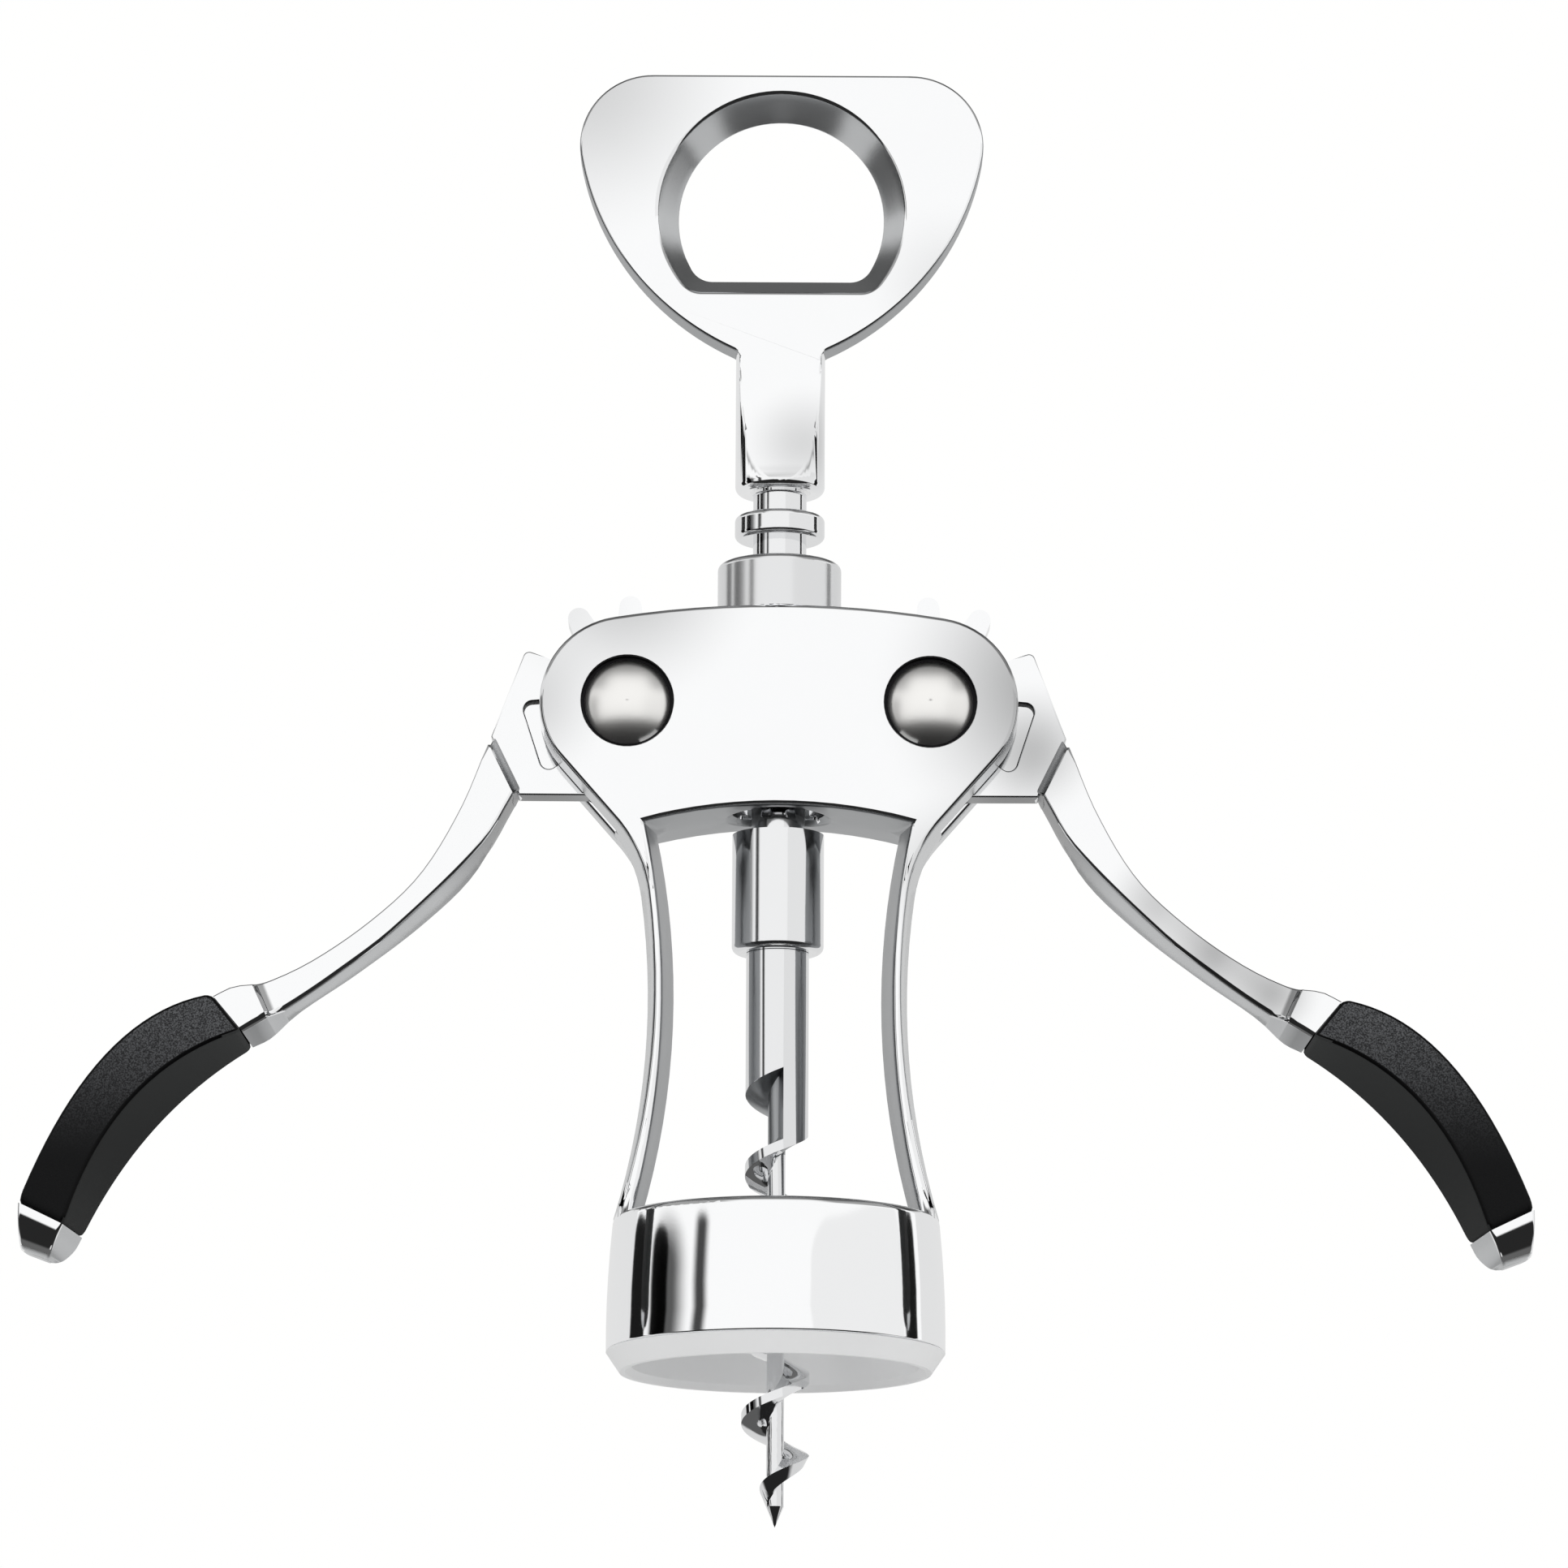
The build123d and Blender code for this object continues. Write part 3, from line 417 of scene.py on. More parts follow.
def soften(shape, width, belongs):
    """Rounds the outward edges of the front and back faces, in one region."""
    rims = []
    for edge in shape.edges:
        if len(edge.link_faces) != 2 or not edge.is_convex:
            continue
        least, most = sorted(abs(face.normal.y) for face in edge.link_faces)
        middle = (edge.verts[0].co + edge.verts[1].co) / 2
        turns = most > FACE_TILT and least < SIDE_TILT and edge.calc_face_angle() > EDGE_TURN
        if turns and belongs(middle):
            rims.append(edge)
    round_edges(shape, rims, width)


# %% The bell's mouth
MOUTH_ROUND = 0.4 * MM
RIM_BAND = 0.05 * MM        # how near to the lowest and widest place the rim's corners lie


def mouth_rim(shape):
    """The outer edge of the bell's mouth."""
    lowest = min(vert.co.z for vert in shape.verts)
    widest = max(vert.co.xy.length for vert in shape.verts if vert.co.z < lowest + RIM_BAND)
    return [edge for edge in shape.edges
            if all(vert.co.z < lowest + RIM_BAND and vert.co.xy.length > widest - RIM_BAND
                   for vert in edge.verts)]


# %% [markdown]
# ## The castings
#
# The frame, the handle and the two levers come out of their dies with sharp corners,
# and leave the polishing wheel in four grades. Fronts, backs and rims are mirrors. The
# insides of the legs, the arch and the outer edge of the opener keep the barrel's rough
# gloss and are painted a dark grey shade. The flanks of the legs, the opener's chamfer
# and the undersides of the levers are half polished and painted a lighter grey shade.
# Recesses and pockets are painted nearly black, as painted shade. Each face is asked
# where it lies and which way it looks, so the painted shade follows the form and there
# is no map to paint. The sides are picked before the rounding, so that each round takes
# the grade of its neighbours, and the details after it.

# %% Places on the arms
PIVOT = Vector((19.1 * MM, 0, 84.0 * MM))
ARM_TILT = radians(-140)


def arm_axes(place):
    """The pivot of the arm that a place is on, and its directions along and across it."""
    hand = -1 if place.x < 0 else 1
    pivot = Vector((hand * PIVOT.x, 0, PIVOT.z))
    along = Vector((-hand * cos(ARM_TILT), 0, sin(ARM_TILT)))
    across = Vector((hand * sin(ARM_TILT), 0, cos(ARM_TILT)))
    return pivot, along, across


def arm_reach(place):
    """How far a place lies out along its arm, from the pivot."""
    pivot, along, across = arm_axes(place)
    return (place - pivot).dot(along)


def from_pivot(place):
    """Distance from the nearer pivot, seen from the front."""
    return sqrt((abs(place.x) - PIVOT.x) ** 2 + (place.z - PIVOT.z) ** 2)


# %% Sides that the polishing wheel doesn't reach, painted in a grey shade
POLISHED, SHADED_SIDE, RECESS_SHADE, HALF_POLISHED_SHADE = range(4)
LEANS = 0.3                 # the share of a normal that makes its face look some way
ARCH_LEANS = 0.5
BELL_TOP = 19.4 * MM
HEAD_FOOT = 131.0 * MM
HOLE_CENTRE = Vector((0, 0, 149.7 * MM))
HOLE_EDGE = 17.0 * MM
ARM_ROOT = 17.5 * MM


def frame_side(face, middle):
    """The insides of the legs and the underside of the arch."""
    inwards = face.normal.x * middle.x < -LEANS * abs(middle.x)
    return middle.z > BELL_TOP and (inwards or face.normal.z < -ARCH_LEANS)


def handle_side(face, middle):
    """The outside of the head, all the way round."""
    return middle.z > HEAD_FOOT and (middle - HOLE_CENTRE).length > HOLE_EDGE


def lever_side(face, middle):
    """The side of the arm's root that looks to the bell."""
    across = arm_axes(middle)[2]
    return arm_reach(middle) > ARM_ROOT and face.normal.dot(across) > LEANS


def shade_sides(shape, is_side):
    """Gives the sides the barrel's rough gloss and a painted grey shade, before their edges are
    rounded.
    """
    for face in shape.faces:
        middle = face.calc_center_median()
        if abs(face.normal.y) < SIDE_TILT and is_side(face, middle):
            face.material_index = SHADED_SIDE


# %% Recesses, flanks and the opener's chamfer
TOUCH = 0.01 * MM           # slack for a face that lies exactly at a limit
RECESS_WALL = 5.9 * MM
RECESS_FLOOR = 6.95 * MM
SHOULDER_TOP = 80 * MM
CHAMFER_LEAST = 0.3         # the chamfer's normals have more depth than this
CHAMFER_MOST = 0.67         # and less than this
POCKET_CENTRE = Vector((8.6, -4.0)) * MM
POCKET_REACH = 6.5 * MM
WEB_HALF = 1.0 * MM         # the pockets' walls lie further from the middle than this
PLATE_UNDERSIDE = 76 * MM
UNDERSIDE_LEANS = 0.8


def frame_detail(face, middle):
    """The legs' flanks are half polished and painted a lighter grey shade, and the recesses round
    the rivets are painted in shade.
    """
    outwards = face.normal.x * middle.x > LEANS * abs(middle.x)
    flank = BELL_TOP < middle.z < SHOULDER_TOP and abs(face.normal.y) < SIDE_TILT
    if outwards and flank:
        return HALF_POLISHED_SHADE
    recess = from_pivot(middle) < RECESS_WALL and abs(middle.y) > RECESS_FLOOR - TOUCH
    return RECESS_SHADE if recess else face.material_index


def handle_detail(face, middle):
    """The chamfer round the opener's hole is half polished and painted a lighter grey shade."""
    chamfer = CHAMFER_LEAST < abs(face.normal.y) < CHAMFER_MOST
    at_hole = (middle - HOLE_CENTRE).length < HOLE_EDGE
    return HALF_POLISHED_SHADE if chamfer and at_hole else face.material_index


def in_pocket(face, middle):
    """The walls of the pockets in the lever's plate."""
    pivot, along, across = arm_axes(middle)
    inwards = pivot + along * POCKET_CENTRE.x + across * POCKET_CENTRE.y - middle
    inwards.y = 0
    near = inwards.length < POCKET_REACH and abs(middle.y) > WEB_HALF
    return near and abs(face.normal.y) < SIDE_TILT and face.normal.dot(inwards) > 0


def lever_detail(face, middle):
    """The plate's underside is half polished and painted a lighter grey shade, and its pockets are
    painted in shade.
    """
    if face.normal.z < -UNDERSIDE_LEANS and middle.z < PLATE_UNDERSIDE:
        return HALF_POLISHED_SHADE
    return RECESS_SHADE if in_pocket(face, middle) else face.material_index


# %% Taking the arm off the lever
FOOT_OUTER = Vector((15.2, -8.3)) * MM      # the step's foot, along the arm and across it
FOOT_INNER = Vector((17.0, -1.0)) * MM
PLATE_LAP = 0.4 * MM                        # the plate reaches this far into the new arm


def cut_arm(shape):
    """Keeps the gear and the plate, and takes the arm off along the foot of its step."""
    pivot, along, across = arm_axes(next(iter(shape.verts)).co)
    foot = FOOT_INNER - FOOT_OUTER
    everything = shape.verts[:] + shape.edges[:] + shape.faces[:]
    cut = bmesh.ops.bisect_plane(
        shape, geom=everything, dist=1e-7, clear_outer=True,
        plane_co=pivot + along * (FOOT_OUTER.x + PLATE_LAP) + across * FOOT_OUTER.y,
        plane_no=along * foot.y - across * foot.x)
    rim = [part for part in cut["geom_cut"] if isinstance(part, bmesh.types.BMEdge)]
    bmesh.ops.holes_fill(shape, edges=rim, sides=0)


# %% Each casting's body, sides, details, half-polished finish with its painted shade, and rounds
RECESS = 6.3 * MM           # the recess and its chamfer end this far from the pivot
NECK_FOOT = 113.5 * MM
PLATE_ROOT = 4.5 * MM       # nearer along the arm lie the gear's teeth, which stay sharp
LEVER = (lever_side, lever_detail, arm_side, [
    (0.25 * MM, lambda place: PLATE_ROOT < arm_reach(place) < ARM_ROOT),
])
CASTINGS = {
    "frame": ("frame", frame_side, frame_detail, flare, [
        (0.7 * MM, lambda place: from_pivot(place) > RECESS and place.z > BELL_TOP),
        (0.15 * MM, lambda place: from_pivot(place) < RECESS),
    ]),
    "handle": ("worm_and_handle", handle_side, handle_detail, flare, [
        (0.45 * MM, lambda place: place.z > HEAD_FOOT),
        (0.3 * MM, lambda place: NECK_FOOT < place.z < HEAD_FOOT),
    ]),
    "lever_left": ("left_lever", *LEVER),
    "lever_right": ("right_lever", *LEVER),
}
print("castings:", ", ".join(CASTINGS))

# %% Make the castings
for node, (body, is_side, detail, lighter_shade, rounds) in CASTINGS.items():
    shape = copy_of(node)
    if "lever" in node:
        cut_arm(shape)
    shape.normal_update()
    shade_sides(shape, is_side)
    for width, belongs in rounds:
        soften(shape, width, belongs)
    if node == "frame":
        round_edges(shape, mouth_rim(shape), MOUTH_ROUND)
    for face in shape.faces:
        face.material_index = detail(face, face.calc_center_median())
    finish_piece(shape, node + "_casting", body,
                 [polished[node], chrome_side, gap_shade, lighter_shade], [node])

# %% [markdown]
# ## Drawing with sections
#
# Each arm swells, thins and ends in a collar, and its lower side leans out to a ridge.
# Pushing the corners of the solid about gives ragged edges, so the arm is drawn anew,
# as a boat's hull is: a closed ring of edges at each station along it, with the corners
# already rounded, and each ring bridged to the next. The grip and its cap are drawn in
# the same way, so that their faces meet in one line. The left hand is built, and the
# right hand is its mirror image.

# %% Curves to draw along
def curve_at(points, place):
    """The second coordinate of a smooth curve through points, at a value of the first."""
    last = len(points) - 2
    index = max(i for i in range(last + 1) if i == 0 or points[i][0] <= place)
    before, start, end, after = (points[min(max(index + step, 0), last + 1)]
                                 for step in (-1, 0, 1, 2))
    span = end[0] - start[0]
    share = (place - start[0]) / span
    leave = (end[1] - before[1]) / (end[0] - before[0]) * span
    arrive = (after[1] - start[1]) / (after[0] - start[0]) * span
    rise = end[1] - start[1]
    bend = share * share * (3 - 2 * share) * rise
    return start[1] + bend + share * (1 - share) * ((1 - share) * leave - share * arrive)


def bend_at(points, share):
    """A place on the bow that starts, passes and ends at three points."""
    start, middle, end = (Vector(point) for point in points)
    pull = 2 * middle - (start + end) / 2
    return start * (1 - share) ** 2 + pull * 2 * share * (1 - share) + end * share ** 2


# %% One section
ROUND_STEPS = 4
ARM_CROWN = 0.4


def round_corner(before, corner, after, width):
    """Points of a rounded corner between two straight runs."""
    start = corner + (before - corner).normalized() * width
    end = corner + (after - corner).normalized() * width
    steps = [step / ROUND_STEPS for step in range(ROUND_STEPS + 1)]
    return [start * (1 - t) ** 2 + corner * 2 * t * (1 - t) + end * t ** 2 for t in steps]


def section(outer, inner, ridge, half, outer_round, inner_round, crown=ARM_CROWN):
    """A closed ring, in millimetres along the arm, across it, and in depth.

    The face runs from the outer edge to the inner one, half the thickness in front of
    the middle. From the inner edge the side leans out to the ridge, and the outer side
    is crowned, so that it stands proud of its edges.
    """
    outer, inner, ridge = Vector(outer), Vector(inner), Vector(ridge)
    wide = (inner - outer).normalized()
    back = Vector((*(outer - wide * crown), 0))
    edge = Vector((*ridge, 0))
    high, low = Vector((*outer, -half)), Vector((*inner, -half))
    front = (round_corner(back, high, low, outer_round)
             + round_corner(high, low, edge, inner_round))
    rear = [Vector((point.x, point.y, -point.z)) for point in reversed(front)]
    return [back] + front + [edge] + rear


# %% Bridging the sections
def loft(name, side, sections, materials, choose, stands_for=()):
    """Bridges the sections of one hand's arm, and chooses each face's finish."""
    shape = bmesh.new()
    pivot, along, across = arm_axes(Vector((-1, 0, 0)))
    rings = []
    for points in sections:
        corners = [shape.verts.new(pivot + (along * p.x + across * p.y + Vector((0, p.z, 0))) * MM)
                   for p in points]
        rings.append([shape.edges.new(pair) for pair in zip(corners, corners[1:] + corners[:1])])
    for first, second in zip(rings, rings[1:]):
        bmesh.ops.bridge_loops(shape, edges=first + second)
    bmesh.ops.holes_fill(shape, edges=rings[0] + rings[-1], sides=0)
    if side == "right":
        bmesh.ops.transform(shape, matrix=Matrix.Diagonal((-1, 1, 1, 1)), verts=shape.verts)
        pivot, along, across = arm_axes(Vector((1, 0, 0)))
    bmesh.ops.recalc_face_normals(shape, faces=shape.faces)
    for face in shape.faces:
        face.material_index = choose(face, across, along)
    finish_piece(shape, name, side + "_lever", materials, stands_for)


# %% [markdown]
# ## The arms
#
# An arm rises from the plate in a step, bows out, and thins towards its grip. Just
# before the grip its faces sink and rise again in a slanted groove, and a thick collar
# follows, which the grip butts against. Each long edge is a smooth curve through a few
# places, and the depth is one more such curve. The sections turn from the slant of the
# step at one end to that of the groove at the other.

# %% The long edges of an arm
# Places in millimetres: along the arm from the pivot, and across it.
ARM_OUTER = [(16.6, -7.7), (24.6, -3.4), (33.6, -0.2), (41.9, 0.45), (51.2, -0.4),
             (58.3, -2.35), (60.9, -3.95), (63.6, -4.6)]
ARM_INNER = [(18.3, -0.6), (25.1, 1.8), (41.0, 3.3), (50.0, 2.95), (57.0, 2.2),
             (61.5, 1.25), (63.6, 0.95)]
ARM_RIDGE = [(18.7, -0.5), (27.8, 3.4), (37.0, 4.35), (47.6, 4.0), (56.6, 3.2),
             (61.2, 3.45), (63.6, 2.9)]
ARM_DEPTH = [(16.6, 4.25), (30.0, 4.6), (44.0, 4.1), (54.0, 3.35), (57.1, 3.2)]
GRIP_FACE = 63.6
RIDGE_LEAD = 0.2            # the ridge of a section lies this much further along
EDGE_ROUND = 0.3
INNER_ROUND = 0.75


def arm_section(reach, slant, half, outer_round=EDGE_ROUND, inner_round=INNER_ROUND):
    """A section whose inner end lies further along than its outer end by the slant."""
    outer, inner = reach - slant / 2, reach + slant / 2
    outer = min(max(outer, ARM_OUTER[0][0]), GRIP_FACE)
    inner = min(inner, GRIP_FACE)
    ridge = min(inner + RIDGE_LEAD, GRIP_FACE)
    return section((outer, curve_at(ARM_OUTER, outer)), (inner, curve_at(ARM_INNER, inner)),
                   (ridge, curve_at(ARM_RIDGE, ridge)), half, outer_round, inner_round)


print("an arm ends", GRIP_FACE, "mm from its pivot")

# %% From the foot of the step to the face of the grip
FOOT = {"outer": (15.0, -8.3), "inner": (16.8, -1.0), "ridge": (17.4, -0.6), "half": 1.95,
        "crown": 0.2, "outer_round": 0.6, "inner_round": 0.3}
SHOULDER = {"outer": (16.3, -7.5), "inner": (18.1, -0.66), "ridge": (18.5, -0.52),
            "half": 4.1, "outer_round": 0.9, "inner_round": 0.4}
ARM_START = 17.45
START_ROUND = 0.9
ARM_STATIONS = 22
STEP_SLANT = 1.7
GROOVE_SLANT = 1.15
GROOVE_START = 57.1
GROOVE_END = 59.5
GROOVE_HALF = 3.2
GROOVE_TURN = radians(62)   # how steep the groove's far wall has become at its top
GROOVE_STEPS = 8
GROOVE_TIGHTER = 0.3        # the inner edge is rounded this much less inside the groove
COLLAR_HALF = 4.6
COLLAR = [(59.62, 1.1), (60.6, 0.9), (61.6, 0.6), (62.6, 0.3), (63.6, 0.0)]  # reach, slant


def arm_sections():
    """Step, bowed arm, groove and collar."""
    rings = [section(**FOOT), section(**SHOULDER)]
    for step in range(ARM_STATIONS + 1):
        share = step / ARM_STATIONS
        reach = ARM_START + (GROOVE_START - ARM_START) * share
        slant = STEP_SLANT * (1 - share) ** 2 + GROOVE_SLANT * share
        rings.append(arm_section(reach, slant, curve_at(ARM_DEPTH, reach),
                                 START_ROUND if step == 0 else EDGE_ROUND))
    radius = (GROOVE_END - GROOVE_START) / sin(GROOVE_TURN)
    for step in range(1, GROOVE_STEPS + 1):
        turn = GROOVE_TURN * step / GROOVE_STEPS
        tighter = GROOVE_TIGHTER * sin(pi * step / (GROOVE_STEPS + 1))
        rings.append(arm_section(GROOVE_START + radius * sin(turn), GROOVE_SLANT,
                                 GROOVE_HALF + radius * (1 - cos(turn)),
                                 inner_round=INNER_ROUND - tighter))
    for reach, slant in COLLAR:
        rings.append(arm_section(reach, slant, COLLAR_HALF))
    return rings


# %% Make the arms
ARM_SIDE_TILT = 0.45
STEP_LEANS = 0.6
STEP_LOWEST = 60 * MM


def arm_finish(face, across, along):
    """The step and the side that looks to the bell are dull and painted a grey shade; the rest is
    polished.
    """
    side = abs(face.normal.y) < ARM_SIDE_TILT and face.normal.dot(across) > LEANS
    step = face.normal.dot(along) < -STEP_LEANS and face.calc_center_median().z > STEP_LOWEST
    return SHADED_SIDE if side or step else POLISHED


for side in ("left", "right"):
    loft("arm_" + side, side, arm_sections(),
         [polished["lever_" + side], arm_side], arm_finish)

# %% [markdown]
# ## The grips
#
# A grip is one bow of plastic with a constant depth, pulled in at both ends to a thin
# round, which the light picks out where the plastic meets the metal. Three bows give
# its outer edge, inner edge and ridge. The faces are picked by how far they tilt:
# stipple on the flat, smooth plastic painted lighter on the sides, and a painted black
# shade on the rounds between.

# %% The long edges of a grip
GRIP_OUTER = [(63.6, -5.2), (78.7, -7.7), (98.8, -0.1)]
GRIP_INNER = [(63.6, 1.1), (79.5, -0.97), (96.1, 5.9)]
GRIP_RIDGE = [(63.6, 3.0), (79.4, 3.05), (95.15, 8.0)]
GRIP_HALF = 5.3
GRIP_CROWN = 0.34
GRIP_ROUND = 0.6
GRIP_STATIONS = 20
GRIP_ENDS = [(0.0, 0.75), (0.006, 0.3), (0.018, 0.08), (0.03, 0.0)]     # share, drawn in
GRIP_BODY_FROM = 0.03
GRIP_BODY = 0.94            # the share of the grip's length between its two rounded ends
FAR_END = 0.5               # the far end is drawn in this share of what the near end is
INNER_EDGE = 0.5            # and the inner edge this share of what the outer edge is


def grip_section(share, drawn_in=0.0):
    """A section of the grip, drawn in on all sides by some distance."""
    outer, inner, ridge = (bend_at(points, share)
                           for points in (GRIP_OUTER, GRIP_INNER, GRIP_RIDGE))
    wide = (inner - outer).normalized() * drawn_in
    crown = (inner - outer).normalized() * GRIP_CROWN
    return section(outer + crown + wide, inner - wide * INNER_EDGE, ridge - wide,
                   GRIP_HALF - drawn_in, GRIP_ROUND, GRIP_ROUND, GRIP_CROWN)


print("a grip is", 2 * GRIP_HALF, "mm thick")

# %% Make the grips
STIPPLED, SMOOTH_SIDE, BLACK_ROUND = range(3)
STIPPLE_TILT = 0.97         # a face whose normal has more depth than this is stippled
INNER_TILT = 0.74           # with less depth than this it is the smooth inner side
OUTER_TILT = 0.15           # and with less than this the smooth outer side
END_LEANS = 0.5
GRIP_STRIP = 3.0 * MM * MM  # the faces of the rounded ends are smaller than this


def grip_finish(face, across, along):
    """Stippled faces, smooth sides painted lighter, and rounds painted black as shade between them
    and at the ends.
    """
    tilt = abs(face.normal.y)
    if tilt > STIPPLE_TILT:
        return STIPPLED
    side_tilt = INNER_TILT if face.normal.dot(across) > 0 else OUTER_TILT
    end = face.calc_area() < GRIP_STRIP and abs(face.normal.dot(along)) > END_LEANS
    return SMOOTH_SIDE if tilt < side_tilt and not end else BLACK_ROUND


def grip_sections():
    """A rounded end, the body, and the other rounded end."""
    rings = [grip_section(share, drawn_in) for share, drawn_in in GRIP_ENDS]
    rings += [grip_section(GRIP_BODY_FROM + GRIP_BODY * step / GRIP_STATIONS)
              for step in range(1, GRIP_STATIONS + 1)]
    return rings + [grip_section(1.0 - share, drawn_in * FAR_END)
                    for share, drawn_in in reversed(GRIP_ENDS[:-1])]


for side in ("left", "right"):
    loft("grip_" + side + "_moulding", side, grip_sections(),
         [grip_stipple, grip_smooth, grip_edge], grip_finish, ["grip_" + side])

# %% [markdown]
# ## The end caps
#
# Each grip ends in a chrome cap whose front and back are ground down to the rounded
# tip. The grinding follows an arc: the depth of a section falls with the cosine of its
# turn while it moves on by the sine, so the sections stand closest where the surface
# is steepest.

# %% The long edges of a cap, and the arc it is ground to
# A share of the cap's length, and a place along and across the arm.
CAP_OUTER = [(0.0, (98.75, 0.33)), (0.35, (100.05, 1.84)), (0.7, (101.35, 3.55)),
             (0.9, (101.9, 4.5)), (1.0, (101.7, 5.35))]
CAP_INNER = [(0.0, (96.2, 5.95)), (0.35, (97.7, 6.6)), (0.7, (99.2, 7.3)),
             (1.0, (100.35, 7.75))]
CAP_RIDGE = [(0.0, (95.25, 8.05)), (0.35, (97.0, 8.75)), (0.7, (98.8, 8.85)),
             (0.9, (99.7, 8.5)), (1.0, (100.2, 8.05))]
CAP_STATIONS = 12
CAP_CROWN = 0.25
CAP_ROUND = 0.35
GRIND_START = radians(2)
GRIND_END = radians(72)
GRIND_RADIUS = 5.94


def cap_line(points, share):
    """A place on one of the cap's long edges."""
    return [curve_at([(at, place[part]) for at, place in points], share) for part in (0, 1)]


def cap_sections():
    """Rings whose depth follows the arc that the cap's face is ground to."""
    rings = []
    for step in range(CAP_STATIONS + 1):
        turn = GRIND_START + (GRIND_END - GRIND_START) * step / CAP_STATIONS
        share = (sin(turn) - sin(GRIND_START)) / (sin(GRIND_END) - sin(GRIND_START))
        half = GRIP_HALF - GRIND_RADIUS * (cos(GRIND_START) - cos(turn))
        lines = (cap_line(points, share) for points in (CAP_OUTER, CAP_INNER, CAP_RIDGE))
        rings.append(section(*lines, half, CAP_ROUND, CAP_ROUND, CAP_CROWN))
    return rings


for side in ("left", "right"):
    loft("end_cap_" + side + "_ground", side, cap_sections(),
         [chrome, arm_side], arm_finish, ["end_cap_" + side])

# %% [markdown]
# ## The turned pieces
#
# The worm, the rack, the bush, the liner and the rivets are turned, ground or moulded
# round, and their solids already have the right form down to their chamfers. They stay
# as they are and only take a finish, which goes into the slot of the solid's own
# object.

# %% Finishes for the solids that stay
FINISHES = {
    "worm": steel, "rack_spindle": satin, "guide_bush": brushed, "bell_liner": liner_white,
    "rivet_front_left": nickel, "rivet_front_right": nickel,
    "rivet_rear_left": nickel, "rivet_rear_right": nickel,
}
for node, material in FINISHES.items():
    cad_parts[node].material_slots[0].material = material
    print(node, "takes", material.name)

# %% [markdown]
# ## The floor
#
# A low paper floor takes the shadow when the object is seen from above. The camera can
# also stand below it and look up, so its underside is clear: the paper mixes its own
# shader with a transparent one by the side that a ray meets.

# %% Floor
FLOOR_Z = -20.5 * MM
FLOOR_HALF = 1.2
PAPER_WHITE = (0.85, 0.85, 0.85, 1)
PAPER_ROUGHNESS = 0.9
shape = bmesh.new()
bmesh.ops.create_grid(shape, x_segments=1, y_segments=1, size=FLOOR_HALF,
                      matrix=Matrix.Translation((0, 0, FLOOR_Z)))
mesh = bpy.data.meshes.new("floor")
shape.to_mesh(mesh)
shape.free()
floor = bpy.data.objects.new("floor", mesh)
bpy.context.scene.collection.objects.link(floor)
floor.visible_glossy = False
print("the floor lies at", round(FLOOR_Z / MM, 1), "mm")

# %% The floor's paper
paper = bpy.data.materials.new("floor_paper")
paper.use_nodes = True
tree = paper.node_tree
shader = tree.nodes["Principled BSDF"]
shader.inputs["Base Color"].default_value = PAPER_WHITE
shader.inputs["Roughness"].default_value = PAPER_ROUGHNESS
from_below = add_node(tree, "ShaderNodeNewGeometry", output="Backfacing")
clear = add_node(tree, "ShaderNodeBsdfTransparent")
surface = add_node(tree, "ShaderNodeMixShader", **{
    "0": from_below, "1": Socket(tree, shader.outputs[0]), "2": clear})
surface.feed(tree.nodes["Material Output"].inputs["Surface"])
mesh.materials.append(paper)
print("the floor takes", paper.name)

# %% [markdown]
# ## What the chrome mirrors
#
# Polished metal is shown among white walls and black cards, because it has no look of
# its own: the cards are what draws the crisp black lines down a cylinder. Cards built
# as meshes would block the lamps, so the room is painted on the world. It is made of
# grey levels against the compass, 0 in front and 90 at the right, and against the
# height above the horizon, both in degrees. Only mirrored rays see the cards. The lens
# sees plain white, and matt surfaces are lit by an even room.

# %% Where a ray of the world points
world = bpy.data.worlds.new("studio")
bpy.context.scene.world = world
world.use_nodes = True
tree = world.node_tree
tree.nodes.clear()
direction = add_node(tree, "ShaderNodeTexCoord", output="Generated")
compass = axis(direction, "X").math("ARCTAN2", axis(direction, "Y") * -1.0) * degrees(1)
elevation = axis(direction, "Z").math("ARCSINE") * degrees(1)
LOWEST = -90
HIGHEST = 90
print("the world is", world.name)

# %% Walls and cards
CARD_STRETCH = 3.0          # the cards' corners are this much flatter than they are wide


def levels(stops):
    """Grey levels of a wall against the height above the horizon."""
    span = HIGHEST - LOWEST
    places = [((degree - LOWEST) / span, grey) for degree, grey in stops]
    return elevation.node("ShaderNodeValToRGB", {"stops": places},
                          Fac=(elevation - LOWEST) * (1 / span))


def card(start, end, low, high, corner, blur, grey):
    """One card: its reach round the compass and in height, its corners, blur and grey."""
    wide = (compass - (start + end) / 2).math("ABSOLUTE") - ((end - start) / 2 - corner)
    tall = (elevation - (low + high) / 2).math("ABSOLUTE") * CARD_STRETCH
    tall = tall - (CARD_STRETCH * (high - low) / 2 - corner)
    wide = wide.math("MAXIMUM", 0.0)
    tall = tall.math("MAXIMUM", 0.0)
    off = (wide * wide + tall * tall).math("SQRT") - corner
    return 1.0 - smooth(off, blur / 2, -blur / 2) * (1.0 - grey)


# %% The room
LOW_EDGE = -22.0            # the cards end here, and a dark low band begins
BAND_TURN = (74.0, 100.0)   # the low band turns from the front's grey to the back's
BACK_FROM = 117.0           # and above it the back wall starts here
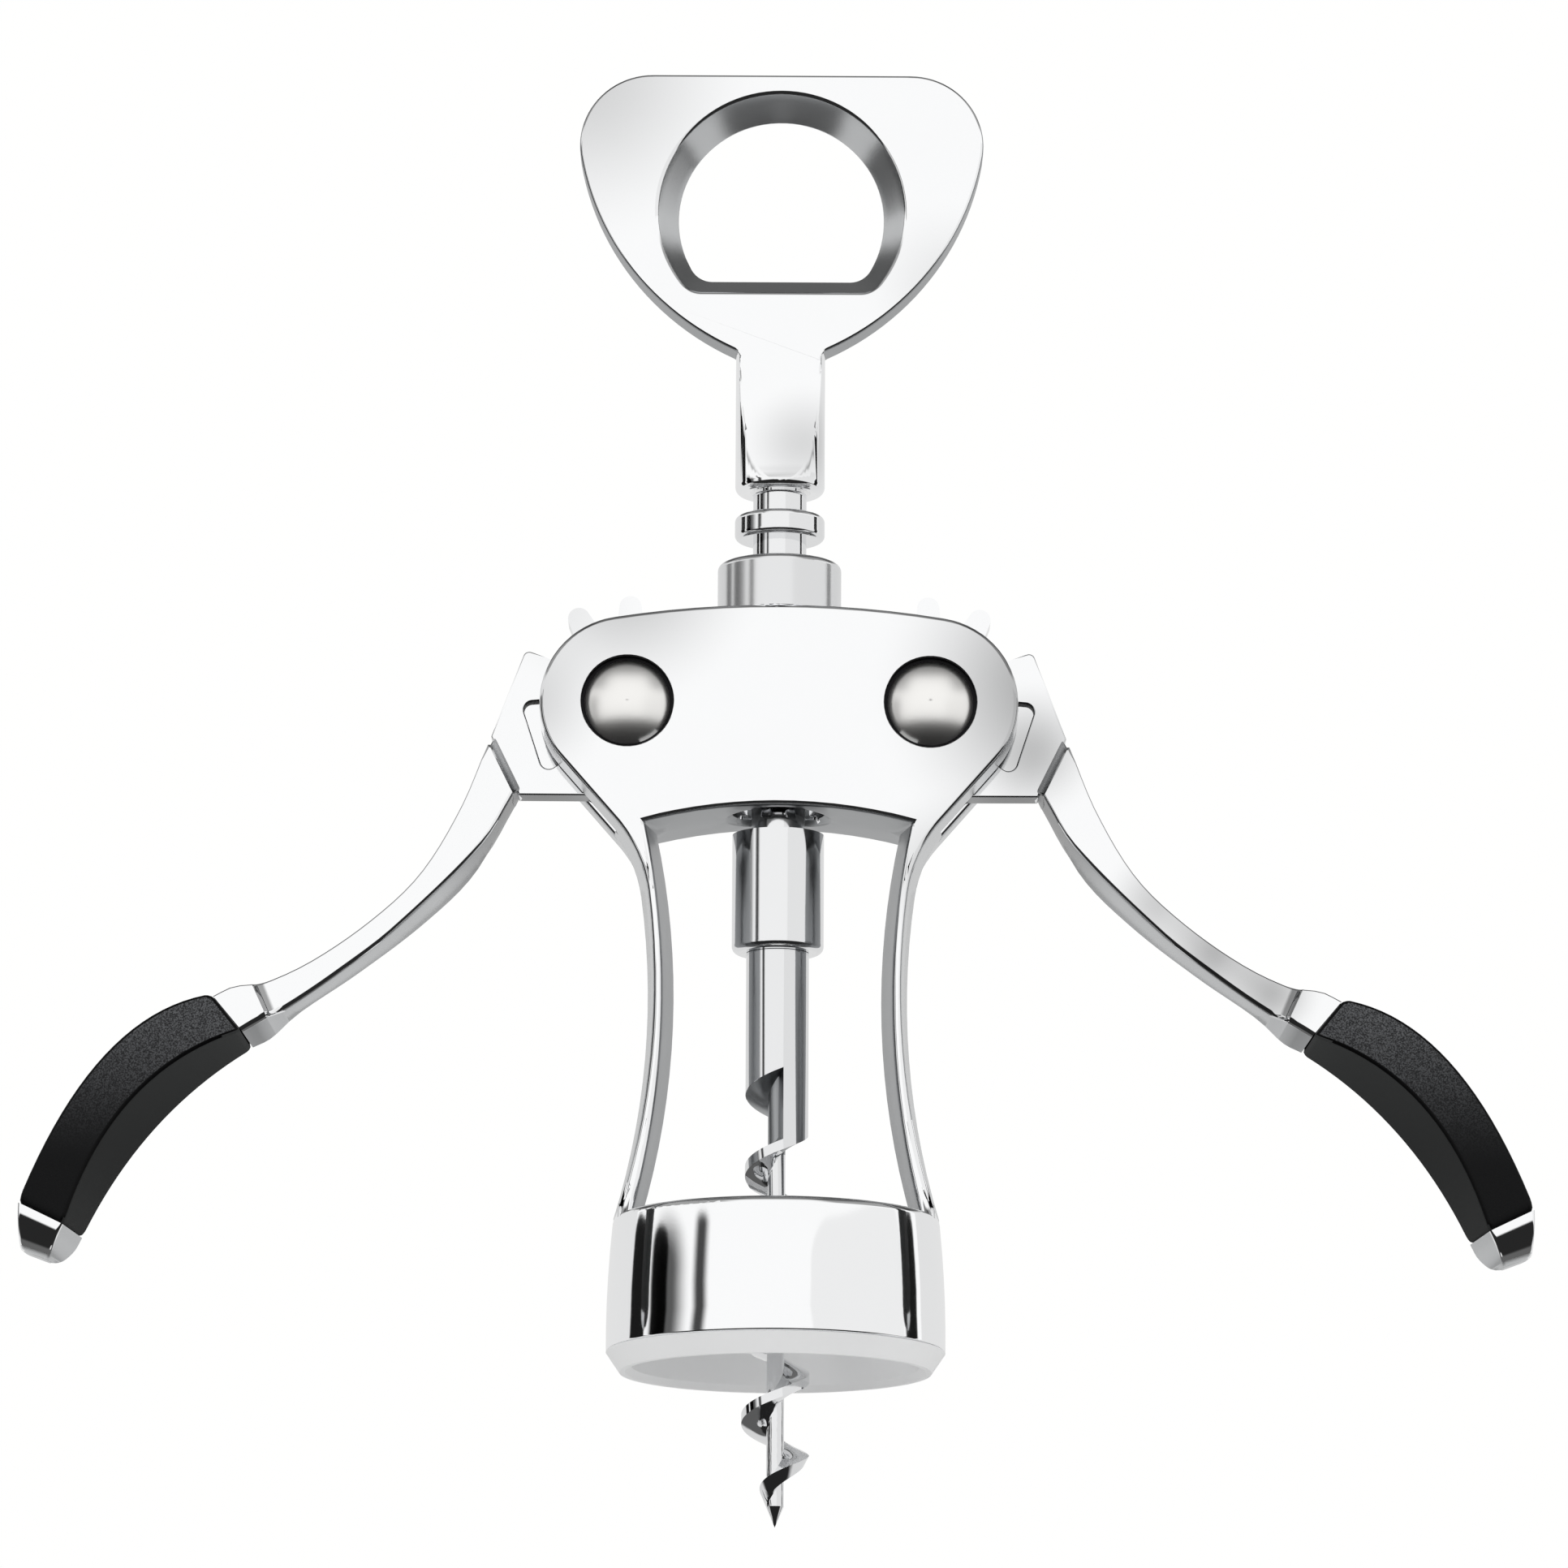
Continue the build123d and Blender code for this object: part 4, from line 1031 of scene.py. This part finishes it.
# A wall is a list of heights and grey levels.
IN_FRONT = [(-82, 0.78), (-79, 0.02), (-19, 0.02), (-15, 1.0), (46, 1.0), (64, 0.2)]
BEHIND = [(-82, 0.78), (-79, 0.12), (-50, 0.12), (-44, 0.78), (27, 0.78), (31, 0.15)]
CARDS = [   # from, to, low, high, corner, blur, grey
    (-117, -100.5, LOW_EDGE, 15.4, 6.0, 1.6, 0.01),
    (-95, -80, LOW_EDGE, 15.8, 7.0, 3.0, 0.01),
    (-93, -68, LOW_EDGE, 16.2, 12.0, 16.0, 0.10),
    (-58, -49, LOW_EDGE, 18.6, 4.0, 6.0, 0.06),
    (24, 97, LOW_EDGE, 18.0, 14.0, 2.0, 0.88),
    (99, 112, LOW_EDGE, 15.4, 5.0, 1.6, 0.01),
    (44, 130, 30, 70, 4.0, 34.0, 0.06),
    (-130, -44, 30, 70, 4.0, 34.0, 0.06),
]
in_front = levels(IN_FRONT)
behind = levels(BEHIND)
turned = compass.math("ABSOLUTE")
low_round = (1.0 - (elevation > LOW_EDGE)) * smooth(turned, *BAND_TURN)
is_behind = (turned > BACK_FROM).math("MAXIMUM", low_round)
room = in_front + is_behind * (behind - in_front)
for reach in CARDS:
    room = room * card(*reach)
print("the room has", len(CARDS), "cards")

# %% Who sees what
ROOM_LIGHT = 0.55
STUDIO_WHITE = (1, 1, 0.995, 1)
by_lens, by_mirror, by_glass = (
    direction.node("ShaderNodeLightPath", output="Is " + ray + " Ray")
    for ray in ("Camera", "Glossy", "Transmission"))
matt = 1.0 - (by_lens + by_mirror + by_glass).math("MINIMUM", 1.0)
strength = by_mirror * room + (1.0 - by_mirror) * (by_lens + by_glass).math("MINIMUM", 1.0)
strength = strength + matt * ROOM_LIGHT
glow = strength.node("ShaderNodeBackground", Color=STUDIO_WHITE, Strength=strength)
out = tree.nodes.new("ShaderNodeOutputWorld")
glow.feed(out.inputs["Surface"])
print("the world has", len(tree.nodes), "nodes")

# %% [markdown]
# ## Lamps
#
# The room lights everything evenly, which leaves the black grips flat. A large soft
# lamp above on the left and a weaker one on the right model them. Chrome doesn't
# mirror the lamps, because two bright squares on it would break up the drawn lines.

# %% Two soft lamps
STUDIO_CENTRE = Vector((0, 0, 75 * MM))
LAMP_SIZE = 1.8
LAMPS = {
    "key_left": ((-1.8, -2.2, 2.2), 44.0),      # place in metres, power in watts
    "fill_right": ((2.0, -2.0, 0.9), 19.0),
}
for name, (place, power) in LAMPS.items():
    lamp = bpy.data.lights.new(name, "AREA")
    lamp.shape = "SQUARE"
    lamp.size = LAMP_SIZE
    lamp.energy = power
    stand = bpy.data.objects.new(name, lamp)
    bpy.context.scene.collection.objects.link(stand)
    stand.location = place
    stand.rotation_euler = (STUDIO_CENTRE - Vector(place)).to_track_quat("-Z", "Y").to_euler()
    stand.visible_glossy = False
    print(name, "has", power, "watts")

# %% [markdown]
# ## The camera
#
# A long lens about a metre away keeps the arms nearly free of perspective. The camera
# stands a little below the object and looks up, so that the undersides of the bell and
# the arch show. Its place is worked out from its target, distance and elevation, and
# the plain Standard view shows each colour as it is written.

# %% Camera
VIEW_ELEVATION = radians(-11.85)
VIEW_ROLL = radians(0.285)
VIEW_DISTANCE = 979.8 * MM
VIEW_TARGET = Vector((0.70, 0, 75.125)) * MM
SENSOR = 36.0
LENS = 177.47
camera_data = bpy.data.cameras.new("camera")
camera_data.sensor_width = SENSOR
camera_data.lens = LENS
camera = bpy.data.objects.new("camera", camera_data)
bpy.context.scene.collection.objects.link(camera)
towards = Vector((0, cos(VIEW_ELEVATION), -sin(VIEW_ELEVATION)))
aim = Matrix.Rotation(pi / 2 - VIEW_ELEVATION, 4, "X") @ Matrix.Rotation(VIEW_ROLL, 4, "Z")
camera.matrix_world = Matrix.Translation(VIEW_TARGET - towards * VIEW_DISTANCE) @ aim
bpy.context.scene.camera = camera
bpy.context.scene.view_settings.view_transform = "Standard"
print("the camera stands", round(VIEW_DISTANCE, 3), "m from its target")
